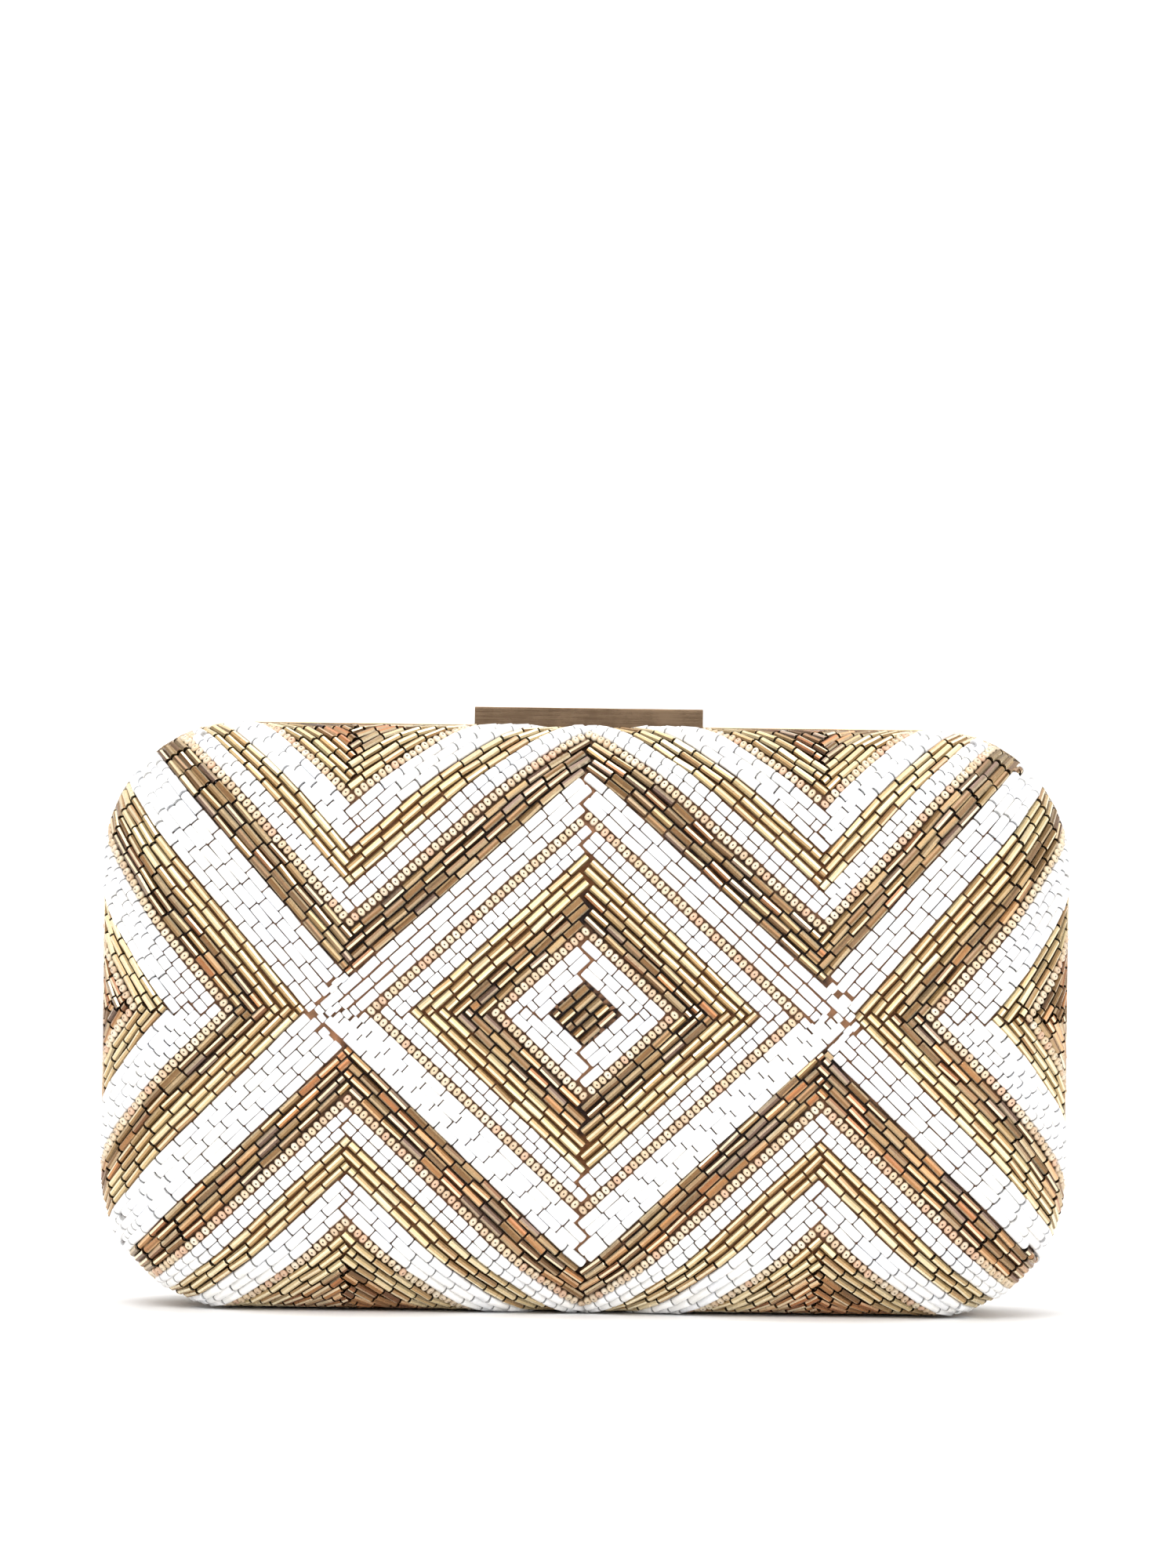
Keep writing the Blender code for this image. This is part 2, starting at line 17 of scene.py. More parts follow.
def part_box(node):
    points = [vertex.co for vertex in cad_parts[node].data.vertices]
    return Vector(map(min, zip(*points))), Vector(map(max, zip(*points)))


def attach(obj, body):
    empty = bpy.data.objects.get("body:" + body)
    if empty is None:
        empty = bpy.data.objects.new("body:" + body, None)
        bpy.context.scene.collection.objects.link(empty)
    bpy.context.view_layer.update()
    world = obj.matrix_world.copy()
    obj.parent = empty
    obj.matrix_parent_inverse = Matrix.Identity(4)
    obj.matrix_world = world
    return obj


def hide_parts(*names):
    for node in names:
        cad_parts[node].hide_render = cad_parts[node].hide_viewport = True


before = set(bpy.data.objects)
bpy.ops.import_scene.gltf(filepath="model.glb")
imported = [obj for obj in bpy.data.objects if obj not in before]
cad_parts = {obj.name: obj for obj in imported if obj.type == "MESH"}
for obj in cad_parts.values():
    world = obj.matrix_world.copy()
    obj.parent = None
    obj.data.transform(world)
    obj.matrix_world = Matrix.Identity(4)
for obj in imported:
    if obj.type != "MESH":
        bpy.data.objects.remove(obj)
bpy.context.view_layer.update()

bl_info = {
    "name": "Beaded evening bag",
    "version": (1, 0, 0),
    "blender": (4, 5, 0),
    "location": "View3D > Sidebar > Evening bag",
    "description": "Beads, lines and finishes a hard evening bag and sets it on a studio floor",
    "category": "Object",
}

MM = 0.001
BEAD_MAP = "OFBake"
# The beads' colour attribute: each face's tint with painted highlight and shade in it.
TINT_AND_LIGHT = "bead_tint_and_painted_light"
CLOTH_SHADE = "cloth_painted_shade"
# The cloth gets painted shade this near to the beads, fading out over the next stretch.
SHADE_NEAR = 1.6 * MM
SHADE_FADE = 0.6 * MM
HALVES = (("front", -1.0), ("rear", 1.0))

# The case, read from the frame: the rail gives the outline, the panel gives the beaded surface.
RAIL_LOW, RAIL_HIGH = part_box("front_rail")
PANEL_LOW, PANEL_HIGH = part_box("front_beaded_panel")
HALF_WIDTH = RAIL_HIGH.x
HALF_HEIGHT = (RAIL_HIGH.z - RAIL_LOW.z) / 2
MIDDLE_Z = (RAIL_HIGH.z + RAIL_LOW.z) / 2
RAIL_FACE = -RAIL_LOW.y
PANEL_INSET = HALF_WIDTH - PANEL_HIGH.x
CASE_DEPTH = -PANEL_LOW.y
RIM_DEPTH = -PANEL_HIGH.y
CORNER_RADIUS = 30 * MM
EDGE_ROUNDING = 15 * MM
CROWN = 1 * MM
FACE_INSET = PANEL_INSET + EDGE_ROUNDING
FACE_RISE = CASE_DEPTH - CROWN - RAIL_FACE
FACE_CORNER = CORNER_RADIUS - FACE_INSET
FACE_SQUARE = (HALF_WIDTH - CORNER_RADIUS, HALF_HEIGHT - CORNER_RADIUS)
# The padding swells the rounded edge a little over the rail, most at a third of the turn.
SWELL = 1.75 * MM
SWELL_TURN = math.radians(50)

# Depths of the layers under the tops of the beads.
CLOTH_DEPTH = 1.95 * MM
CLOTH_THICKNESS = 0.12 * MM
FOAM_DEPTH = 2.3 * MM
FOAM_THICKNESS = 0.8 * MM
LINING_DEPTH = 5.2 * MM
LINING_THICKNESS = 0.5 * MM
LINING_START = 3.5 * MM

# The beadwork's plan, laid flat: a diamond in the middle, chevrons above, below and at the sides.
PLAN_MIDDLE = 1.75 * MM
CROSSING = 50.8 * MM
DIAMOND = (45.9 * MM, 42.4 * MM)
CHEVRON_TIP = 7.2 * MM


def rgb(red, green, blue):
    """Linear colour of an everyday 0 to 255 colour."""
    shares = [c / 255 for c in (red, green, blue)]
    return tuple(s / 12.92 if s <= 0.04 else ((s + 0.055) / 1.055) ** 2.4 for s in shares)


# ---------------------------------------------------------------- the case's surface


def swell(turn):
    """How far the padding pushes the edge out at an angle of its turn."""
    return SWELL * np.sin(math.pi * np.clip(turn / SWELL_TURN, 0, 1))


def edge_table():
    """Length along the rounded edge from the face, with the inset and the depth at each length."""
    turn = np.linspace(math.pi / 2, 0, 240)
    inset = PANEL_INSET + EDGE_ROUNDING * (1 - np.cos(turn)) - swell(turn)
    depth = RAIL_FACE + FACE_RISE * np.sin(turn)
    step = np.hypot(np.diff(inset), np.diff(depth))
    return np.concatenate([[0], np.cumsum(step)]), inset, depth


EDGE_LENGTHS, EDGE_INSETS, EDGE_DEPTHS = edge_table()
EDGE_LENGTH = EDGE_LENGTHS[-1]


def face_gauge(u, v):
    """How far out a point of the face is: 0 in the middle, 1 where the rounded edge starts."""
    half = (FACE_SQUARE[0] + FACE_CORNER, FACE_SQUARE[1] + FACE_CORNER)
    u, v = np.abs(u), np.abs(v)
    straight = np.maximum(u / half[0], v / half[1])
    size = np.maximum(straight, 1e-9)
    in_corner = (u / size > FACE_SQUARE[0]) & (v / size > FACE_SQUARE[1])
    a = u * u + v * v
    b = u * FACE_SQUARE[0] + v * FACE_SQUARE[1]
    c = FACE_SQUARE[0] ** 2 + FACE_SQUARE[1] ** 2 - FACE_CORNER**2
    root = np.sqrt(np.maximum(b * b - a * c, 0))
    around = a / np.maximum(b + root, 1e-12)
    return np.where(in_corner, around, straight)


def fold(u, v, side):
    """Where flat points (u, v) come to lie on the beaded surface."""
    out_u, out_v = np.abs(u) - FACE_SQUARE[0], np.abs(v) - FACE_SQUARE[1]
    reach = np.hypot(np.maximum(out_u, 0), np.maximum(out_v, 0))
    past = reach + np.minimum(np.maximum(out_u, out_v), 0) - FACE_CORNER
    outside = past > 0
    along_u = np.maximum(out_u, 0) / np.maximum(reach, 1e-9) * np.sign(u)
    along_v = np.maximum(out_v, 0) / np.maximum(reach, 1e-9) * np.sign(v)
    inset = np.interp(past, EDGE_LENGTHS, EDGE_INSETS)
    depth = np.interp(past, EDGE_LENGTHS, EDGE_DEPTHS)
    depth = depth - np.maximum(past - EDGE_LENGTH, 0)
    move = np.where(outside, FACE_INSET - inset - past, 0)
    face_depth = CASE_DEPTH - CROWN * face_gauge(u, v) ** 2
    x = u + along_u * move
    z = v + along_v * move + MIDDLE_Z
    y = np.where(outside, depth, face_depth)
    return np.stack([x, side * y, z], axis=-1), past


def fold_with_normal(u, v, side):
    """Points, outward normals and the length past the face."""
    step = 0.05 * MM
    point, past = fold(u, v, side)
    across = fold(u + step, v, side)[0] - fold(u - step, v, side)[0]
    up = fold(u, v + step, side)[0] - fold(u, v - step, side)[0]
    normal = np.cross(across, up) * -side
    normal /= np.maximum(np.linalg.norm(normal, axis=-1, keepdims=True), 1e-12)
    return point, normal, past


# ---------------------------------------------------------------- the beadwork's plan


class BeadKind:
    """One kind of bead: its cut, its size and the room that a row of it takes."""

    def __init__(self, length, width, row, gap, smooth, tints, painted_facet_light):
        self.length = length * MM
        self.width = width * MM
        self.row = row * MM
        self.gap = gap * MM
        self.smooth = smooth
        self.tints = tints
        self.painted_facet_light = painted_facet_light


BRONZE_TINTS = (
    rgb(162, 124, 76),
    rgb(150, 112, 68),
    rgb(134, 98, 64),
    rgb(132, 102, 84),
    rgb(164, 128, 82),
    rgb(144, 104, 60),
    rgb(124, 88, 54),
    rgb(166, 136, 96),
    rgb(156, 104, 64),
    rgb(172, 136, 84),
    rgb(136, 98, 58),
    rgb(138, 112, 90),
    rgb(158, 120, 72),
    rgb(146, 112, 76),
)
COPPER_TINTS = (
    rgb(200, 138, 84),
    rgb(184, 120, 70),
    rgb(164, 106, 62),
    rgb(208, 152, 96),
    rgb(148, 98, 58),
    rgb(184, 130, 78),
    rgb(166, 122, 74),
    rgb(152, 110, 66),
)
GOLD_TINTS = (
    rgb(204, 176, 126),
    rgb(196, 166, 116),
    rgb(186, 154, 104),
    rgb(212, 188, 142),
    rgb(174, 138, 88),
    rgb(200, 172, 122),
    rgb(184, 146, 94),
    rgb(218, 196, 152),
    rgb(166, 126, 78),
    rgb(206, 182, 132),
)
WHITE_TINTS = (
    rgb(250, 250, 249),
    rgb(247, 247, 248),
    rgb(251, 250, 247),
    rgb(245, 246, 248),
    rgb(252, 251, 250),
    rgb(248, 246, 242),
)
SEED_TINTS = (
    rgb(226, 206, 178),
    rgb(220, 198, 166),
    rgb(216, 192, 158),
    rgb(230, 214, 190),
    rgb(210, 182, 150),
    rgb(214, 176, 146),
    rgb(222, 204, 174),
    rgb(218, 196, 168),
)

# Painted light on the cut faces of a tube, from the one that looks out round to the back, on its
# right and on its left: a painted highlight on the faces that look out, painted shade towards the
# sides and back. Over 1 it turns towards GLINT, the colour of a painted highlight.
ONE_LINE = ((1.85, 0.56, 0.16, 0.08, 0.05), (0.86, 0.42, 0.12, 0.08, 0.05))
TWO_LINES = ((0.86, 1.55, 0.22, 0.08, 0.05), (0.66, 1.30, 0.18, 0.08, 0.05))
LEANING = ((1.20, 1.55, 0.26, 0.08, 0.05), (0.66, 0.40, 0.14, 0.08, 0.05))
BROAD = ((1.70, 0.86, 0.25, 0.15, 0.12), (1.02, 0.58, 0.20, 0.15, 0.12))
PEARL_PAINTED_SHADE = ((1.0, 1.0, 0.96, 0.88, 0.85), (1.0, 1.0, 0.96, 0.88, 0.85))
GLINT = rgb(250, 236, 200)

KINDS = {
    "bronze_bugles": BeadKind(5.0, 1.64, 1.85, 0.42, False, BRONZE_TINTS, (ONE_LINE, TWO_LINES, LEANING)),
    "copper_bugles": BeadKind(4.8, 1.64, 1.85, 0.42, False, COPPER_TINTS, (ONE_LINE, TWO_LINES, LEANING)),
    "light_gold_bugles": BeadKind(5.0, 1.68, 2.0, 0.38, False, GOLD_TINTS, (BROAD, ONE_LINE, BROAD)),
    "white_bugles": BeadKind(4.9, 2.18, 2.2, 0.26, True, WHITE_TINTS, (PEARL_PAINTED_SHADE,)),
    "short_white_bugles": BeadKind(2.6, 2.15, 2.2, 0.24, True, WHITE_TINTS, (PEARL_PAINTED_SHADE,)),
    "seed_beads": BeadKind(1.40, 2.0, 2.15, 0.12, True, SEED_TINTS, (PEARL_PAINTED_SHADE,)),
}
TUBE_SIDES = 10
# Painted shade on the satin between the beads, darker and browner under the darker beads: its colour under
# each kind.
SHADE_UNDER_BEADS = {
    "bronze_bugles": rgb(40, 20, 9),
    "copper_bugles": rgb(62, 34, 18),
    "light_gold_bugles": rgb(128, 78, 36),
    "white_bugles": rgb(192, 142, 106),
    "short_white_bugles": rgb(188, 138, 102),
    "seed_beads": rgb(140, 98, 68),
}

# Kinds of bead and how many rows of each, from the chevron's tip outwards.
UPRIGHT_CHEVRON = (
    ("bronze_bugles", 4),
    ("seed_beads", 1),
    ("short_white_bugles", 2),
    ("light_gold_bugles", 3),
    ("white_bugles", 3),
    ("seed_beads", 1),
    ("light_gold_bugles", 3),
    ("copper_bugles", 16),
)
SIDE_CHEVRON = (
    ("light_gold_bugles", 3),
    ("bronze_bugles", 3),
    ("seed_beads", 1),
    ("short_white_bugles", 2),
    ("white_bugles", 2),
    ("light_gold_bugles", 3),
    ("seed_beads", 1),
    ("copper_bugles", 14),
)
# And from the diamond's outer seeds inwards.
DIAMOND_RINGS = (
    ("seed_beads", 1),
    ("short_white_bugles", 2),
    ("light_gold_bugles", 3),
    ("bronze_bugles", 3),
    ("seed_beads", 1),
    ("white_bugles", 3),
)
# Slopes in degrees and spacing shares of the chevrons above and below the middle line.
SLOPES = {
    1: {"inner": 41.8, "outer": 48.5, "side": 49.5, "share": 0.72},
    -1: {"inner": 43.5, "outer": 43.8, "side": 45.0, "share": 0.7236},
}
SIDE_SHARE = 0.76
SIDE_TIPS = {-1: 59.8 * MM, 1: 57.4 * MM}
BAND_ROWS = {1: 3, -1: 4}
BAND_RANK = 100
HEART_RANK = 300
HEART = 5.1
LAYING_ORDER = (
    "bronze_bugles",
    "seed_beads",
    "light_gold_bugles",
    "copper_bugles",
    "short_white_bugles",
    "white_bugles",
)


def row_offsets(bands):
    """(kind, distance of the row's middle from the start) of every row of the bands."""
    rows, start = [], 0.0
    for kind, count in bands:
        for _ in range(count):
            rows.append((kind, start + KINDS[kind].row / 2))
            start += KINDS[kind].row
    return rows


def plan_rows():
    """Every row of beads, flat, from the middle of the plan.

    A row is (kind, start, end, rank, leads). Where two rows meet at a corner one leads, so that it
    runs on to the outside of the corner, and the other stops against it. leads says so for the
    start and the end of the row, and is None where nothing meets it.
    """
    rows = []
    spread = DIAMOND[0] * DIAMOND[1] / math.hypot(*DIAMOND)
    seed_half = KINDS["seed_beads"].row / 2
    far = 130 * MM
    for up in (1, -1):
        slope = SLOPES[up]
        inner, outer, side_slope = (math.tan(math.radians(slope[k])) for k in ("inner", "outer", "side"))
        for right in (-1, 1):

            def lay(kind, start, end, rank, start_leads, end_leads):
                ends = [(right * point[0], up * point[1]) for point in (start, end)]
                rows.append((kind, *ends, rank, (start_leads, end_leads)))

            for rank, (kind, offset) in enumerate(row_offsets(UPRIGHT_CHEVRON)):
                tip = CHEVRON_TIP + offset / slope["share"]
                even = rank % 2 == 0
                lay(kind, (CROSSING, tip), (0, tip + inner * CROSSING), rank, even, even == (right > 0))
                lay(kind, (CROSSING, tip), (CROSSING + far, tip + outer * far), rank, not even, None)
            for rank, (kind, offset) in enumerate(row_offsets(SIDE_CHEVRON)):
                tip = SIDE_TIPS[right] + offset / SIDE_SHARE
                even = rank % 2 == 0
                lay(kind, (tip, 0), (tip + far, side_slope * far), rank, even == (up > 0), None)
            for rank, (kind, offset) in enumerate(row_offsets(DIAMOND_RINGS)):
                size = 1 - (offset - seed_half) / spread
                even = rank % 2 == 0
                leads = even == (up > 0), even == (right > 0)
                lay(kind, (DIAMOND[0] * size, 0), (0, DIAMOND[1] * size), rank, *leads)
            # The broad white band between the diamond and the chevrons above and below it.
            size = 1 + seed_half / spread
            near = DIAMOND[1] * size, DIAMOND[1] * (size - CROSSING / DIAMOND[0])
            beyond = CHEVRON_TIP + inner * CROSSING, CHEVRON_TIP
            for rank in range(BAND_ROWS[up]):
                share = (rank + 0.5) / BAND_ROWS[up]
                at_middle, at_crossing = (a + (b - a) * share for a, b in zip(near, beyond))
                foot = CROSSING * at_middle / (at_middle - at_crossing)
                even = rank % 2 == 0
                leads = even == (up > 0), even == (right > 0)
                lay("white_bugles", (foot, 0), (0, at_middle), BAND_RANK + rank, *leads)
            # And the one between the side chevrons and those above and below.
            gap = (SIDE_TIPS[right] - CROSSING) * side_slope + CHEVRON_TIP
            gap *= math.cos(math.radians(slope["side"]))
            count = int(round(gap / KINDS["white_bugles"].row))
            for rank in range(count):
                tip = SIDE_TIPS[right] - (rank + 0.5) * gap / count / math.sin(math.radians(slope["side"]))
                share = (rank + 0.5) / count
                rise = side_slope + (outer - side_slope) * share
                lay("white_bugles", (tip, 0), (tip + far, rise * far), 2 * BAND_RANK + rank, None, None)
    rows.extend(heart_rows())
    return rows


def heart_rows():
    """The small bronze diamond in the very middle, its beads laid on the slant."""
    rows = []
    along = Vector(DIAMOND).normalized()
    across = Vector((DIAMOND[0], -DIAMOND[1])).normalized()
    half = HEART * MM
    pitch = 1.1 * KINDS["bronze_bugles"].row
    for place in (-2, -1, 0, 1, 2):
        middle = across * (place * pitch)
        start, end = middle - along * half, middle + along * half
        rows.append(("bronze_bugles", tuple(start), tuple(end), HEART_RANK + place + 2, (None, None)))
    return rows


# Beads over this length are staggered like bricks. A filler is the bead for a small gap in a row.
LONG = 3.5 * MM
FILLER = 1.9 * MM
# Bare spots are looked for this close together, and get the longest of these beads that fits.
SPOT_STEP = 0.45 * MM
SPOT_ROOM = 0.62 * MM
SPOT_LENGTHS = (3.4 * MM, 2.6 * MM, 1.9 * MM, 1.4 * MM)
SPOT_SQUEEZE = 0.78


class Bedding:
    """Remembers where beads already lie, so that no bead is laid through another."""

    CELL = 2.4 * MM
    SHARE = 0.84

    def __init__(self):
        self.cells = {}
        self.fillers = 0

    def new_filler(self):
        """A row number of its own for a bead that belongs to no row."""
        self.fillers += 1
        return -self.fillers

    def key(self, point):
        return tuple(int(math.floor(c / self.CELL)) for c in point)

    def is_free(self, points, radius, row):
        for point in points:
            home = self.key(point)
            for i in (-1, 0, 1):
                for j in (-1, 0, 1):
                    for k in (-1, 0, 1):
                        near = self.cells.get((home[0] + i, home[1] + j, home[2] + k))
                        if not near:
                            continue
                        for other, other_radius, other_row in near:
                            if other_row == row:
                                continue
                            room = self.SHARE * (radius + other_radius)
                            gap = (
                                (point[0] - other[0]) ** 2
                                + (point[1] - other[1]) ** 2
                                + (point[2] - other[2]) ** 2
                            )
                            if gap < room * room:
                                return False
        return True

    def take(self, points, radius, row):
        for point in points:
            self.cells.setdefault(self.key(point), []).append((point, radius, row))


class LaidBead:
    """One bead on the case: where its middle is, which way it points and how long it is."""

    def __init__(self, middle, axis, normal, length):
        self.middle = middle
        self.axis = axis
        self.normal = normal
        self.length = length


def bead_lengths(room, kind, rank, dice):
    """How a row's room is shared out: each row starts with a bead cut differently, like bricks."""
    pitch = kind.length + kind.gap
    lengths = []
    if kind.length > LONG and room > 1.4 * pitch:
        share = (0.47 * rank + 0.3 * dice.random()) % 1.0
        lengths.append(kind.length * max(share, 0.3))
    left = room - sum(lengths) - kind.gap * len(lengths)
    count = max(1, int(math.ceil(left / (1.1 * pitch))))
    each = left / count - kind.gap
    if each < 0.9 * MM:
        return lengths
    return lengths + [each] * count


def corner_room(leads, width):
    """How far from a corner a row's first bead starts."""
    if leads is None:
        return 0.1 * width
    return -0.34 * width if leads else 0.62 * width


class RowOnCase:
    """One row of the plan folded over the case, measured along its own length."""

    def __init__(self, plan_row, side):
        kind_name, start, end, self.rank, leads = plan_row
        self.kind = KINDS[kind_name]
        width = self.kind.width
        start, end = np.array(start), np.array(end)
        way = (end - start) / np.linalg.norm(end - start)
        begin = start + (0, PLAN_MIDDLE) + way * corner_room(leads[0], width)
        finish = end + (0, PLAN_MIDDLE) - way * corner_room(leads[1], width)
        self.length = 0.0
        if (finish - begin) @ way < 0.8 * width:
            return
        steps = max(8, int(np.linalg.norm(finish - begin) / (0.25 * MM)))
        flat = begin + (finish - begin) * np.linspace(0, 1, steps)[:, None]
        point, normal, past = fold_with_normal(flat[:, 0], flat[:, 1], side)
        on_case = past < EDGE_LENGTH - 0.35 * width
        last = steps if on_case.all() else int(np.argmin(on_case))
        if last < 5:
            return
        self.normal = normal[:last]
        self.seat = point[:last] - self.normal * (CLOTH_DEPTH - width / 2)
        step = np.linalg.norm(np.diff(self.seat, axis=0), axis=1)
        self.gone = np.concatenate([[0], np.cumsum(step)])
        self.length = self.gone[-1]

    def at(self, distance, values):
        return np.array([np.interp(distance, self.gone, values[:, i]) for i in range(3)])

    def seat_bead(self, place, size):
        """A bead that starts at this place on the row and bridges its own length."""
        first, last = self.at(place, self.seat), self.at(place + size, self.seat)
        chord = last - first
        if np.linalg.norm(chord) < 0.6 * size:
            return None
        axis = chord / np.linalg.norm(chord)
        up = self.at(place + size / 2, self.normal)
        up = up - axis * (up @ axis)
        up = up / np.linalg.norm(up)
        bow = self.at(place + size / 2, self.seat) - (first + last) / 2
        return LaidBead((first + last) / 2 + bow * 0.6, axis, up, size)

    def try_bead(self, place, size, row, bedding):
        """Seats a bead if nothing lies there yet."""
        bead = self.seat_bead(place, size)
        if bead is None:
            return None
        radius = self.kind.width / 2
        reach = max(size / 2 - 0.55 * radius, 0)
        count = max(1, int(math.ceil(2 * reach / radius)) + 1)
        shares = np.linspace(-reach, reach, count) if count > 1 else [0.0]
        samples = [tuple(bead.middle + bead.axis * s) for s in shares]
        if not bedding.is_free(samples, radius, row):
            return None
        bedding.take(samples, radius, row)
        return bead


def lay_row(on_case, row, bedding, dice):
    """The beads of one row, with shorter ones where a long one has no room."""
    laid, holes = [], []
    if not on_case.length:
        return laid, holes
    cursor = 0.0
    for length in bead_lengths(on_case.length, on_case.kind, on_case.rank, dice):
        bead = on_case.try_bead(cursor, length, row, bedding)
        if bead:
            laid.append(bead)
        elif length > LONG:
            for part in (cursor, cursor + length * 0.52):
                bead = on_case.try_bead(part, length * 0.48, row, bedding)
                if bead:
                    laid.append(bead)
                else:
                    holes.append((part, length * 0.48))
        else:
            holes.append((cursor, length))
        cursor += length + on_case.kind.gap
    return laid, holes


# The beads of each half, kept so that the painted shade on the cloth follows the same ones that are sewn on.
LAID = {}
# Copper beads are mixed in among the bronze towards the bottom: their share there.
COPPER_BELOW = 0.5


def low_down(bead):
    """0 near the top of the case, rising to 1 at its bottom."""
    return min(max(1.1 - 1.5 * bead.middle[2] / (2 * HALF_HEIGHT), 0.0), 1.0)


def lay_beads(side, seed):
    """{kind: [beads]} of one half of the case. Small gaps are filled last, with short beads."""
    if (side, seed) in LAID:
        return LAID[side, seed]
    dice = np.random.default_rng(seed)
    bedding = Bedding()
    laid = {name: [] for name in KINDS}
    rows = list(enumerate(plan_rows()))

    def laying_turn(item):
        row, (kind, _, _, rank, _) = item
        return BAND_RANK <= rank < HEART_RANK, LAYING_ORDER.index(kind), row

    rows.sort(key=laying_turn)
    short = KINDS["short_white_bugles"].length * 1.25
    gaps = []

    def keep(name, bead):
        if name == "white_bugles" and bead.length < short:
            name = "short_white_bugles"
        if name == "bronze_bugles" and dice.random() < COPPER_BELOW * low_down(bead):
            name = "copper_bugles"
        elif name == "copper_bugles" and dice.random() > 0.35 + 0.65 * low_down(bead):
            name = "bronze_bugles"
        laid[name].append(bead)

    for row, plan_row in rows:
        on_case = RowOnCase(plan_row, side)
        found, holes = lay_row(on_case, row, bedding, dice)
        for bead in found:
            keep(plan_row[0], bead)
        gaps.append((plan_row[0], row, on_case, holes))
    for name, row, on_case, holes in gaps:
        for place, room in holes:
            for start in np.arange(place, place + max(room - FILLER, 0) + 1e-6, 0.5 * MM):
                bead = on_case.try_bead(start, min(FILLER, room), bedding.new_filler(), bedding)
                if bead:
                    keep(name, bead)
    fill_gaps(side, laid, bedding, keep)
    LAID[side, seed] = laid
    return laid


def in_heart(name, bead):
    """Whether a bead is one of the dark ones in the very middle."""
    away = math.hypot(bead.middle[0], bead.middle[2] - MIDDLE_Z - PLAN_MIDDLE)
    return away < 2 * HEART * MM and name in ("bronze_bugles", "copper_bugles")


def fill_gaps(side, laid, bedding, keep):
    """Sews short beads into any bare spot, of the same kind and lie as their nearest neighbour."""
    owners = [(name, bead) for name in laid for bead in laid[name] if not in_heart(name, bead)]
    near = KDTree(2 * len(owners))
    for number, (name, bead) in enumerate(owners):
        for share in (-0.25, 0.25):
            near.insert(bead.middle + bead.axis * (bead.length * share), number)
    near.balance()
    width = KINDS["seed_beads"].width
    reach_x, reach_z = HALF_WIDTH + EDGE_LENGTH, HALF_HEIGHT + EDGE_LENGTH
    for z in np.arange(-reach_z, reach_z, SPOT_STEP):
        x = np.arange(-reach_x, reach_x, SPOT_STEP)
        point, normal, past = fold_with_normal(x, np.full_like(x, z), side)
        seats = point - normal * (CLOTH_DEPTH - width / 2)
        on_case = past < EDGE_LENGTH - 0.35 * width
        for seat, up in zip(seats[on_case], normal[on_case]):
            if not bedding.is_free([tuple(seat)], SPOT_ROOM, None):
                continue
            _, number, _ = near.find(seat)
            name, neighbour = owners[number]
            axis = neighbour.axis - up * (neighbour.axis @ up)
            axis = axis / np.linalg.norm(axis)
            radius = KINDS[name].width / 2
            for size in SPOT_LENGTHS:
                reach = max(size / 2 - 0.7 * radius, 0)
                samples = [tuple(seat + axis * share) for share in (-reach, 0, reach)]
                if bedding.is_free(samples, SPOT_SQUEEZE * radius, None):
                    bedding.take(samples, radius, bedding.new_filler())
                    keep(name, LaidBead(seat, axis, up, size))
                    break


# ---------------------------------------------------------------- bead shapes


def bugle_shape(kind, length):
    """Points, faces and each face's smoothness of a cut glass tube, along X, at its real size."""
    radius = kind.width / 2
    end = length / 2
    bevel = (0.22 if kind.smooth else 0.10) * MM
    shoulder = 0.84 if kind.smooth else 0.92
    profile = [
        (-end, 0.45),
        (-end, shoulder),
        (-end + bevel, 1.0),
        (end - bevel, 1.0),
        (end, shoulder),
        (end, 0.45),
    ]
    sides = TUBE_SIDES
    points, faces, smooth = [], [], []
    for x, share in profile:
        for i in range(sides):
            angle = 2 * math.pi * (i + 0.5) / sides
            points.append((x, radius * share * math.cos(angle), radius * share * math.sin(angle)))
    for ring in range(len(profile) - 1):
        for i in range(sides):
            a, b = ring * sides + i, ring * sides + (i + 1) % sides
            faces.append((a, b, b + sides, a + sides))
            smooth.append(kind.smooth and ring in (1, 2, 3))
    hole = min(0.6 * MM, length * 0.2)
    for x, ring in ((-end + hole, 0), (end - hole, len(profile) - 1)):
        middle = len(points)
        points.append((x, 0, 0))
        for i in range(sides):
            a, b = ring * sides + i, ring * sides + (i + 1) % sides
            faces.append((b, a, middle) if ring == 0 else (a, b, middle))
            smooth.append(False)
    return np.array(points), faces, smooth


def seed_shape(kind, length):
    """A small rounded bead with its hole facing out, along Z, at its real size."""
    half_x, half_y, half_z = length / 2, kind.width / 2, 0.78 * MM
    profile = (
        (0.11, 0.55),
        (0.24, 0.94),
        (0.76, 0.86),
        (1.0, 0.1),
        (0.84, -0.85),
        (0.11, -0.70),
    )
    around = 10
    points, faces = [], []
    for share, height in profile:
        for i in range(around):
            angle = 2 * math.pi * i / around
            c, s = math.cos(angle), math.sin(angle)
            square = (abs(c) ** 2.8 + abs(s) ** 2.8) ** (-1 / 2.8)
            square = 1 + (square - 1) * share
            points.append((half_x * share * c * square, half_y * share * s * square, half_z * height))
    rings = len(profile)
    for ring in range(rings):
        for i in range(around):
            a, b = ring * around + i, ring * around + (i + 1) % around
            c = ((ring + 1) % rings) * around
            faces.append((b, a, c + i, c + (i + 1) % around))
    return np.array(points), faces, [True] * len(faces)


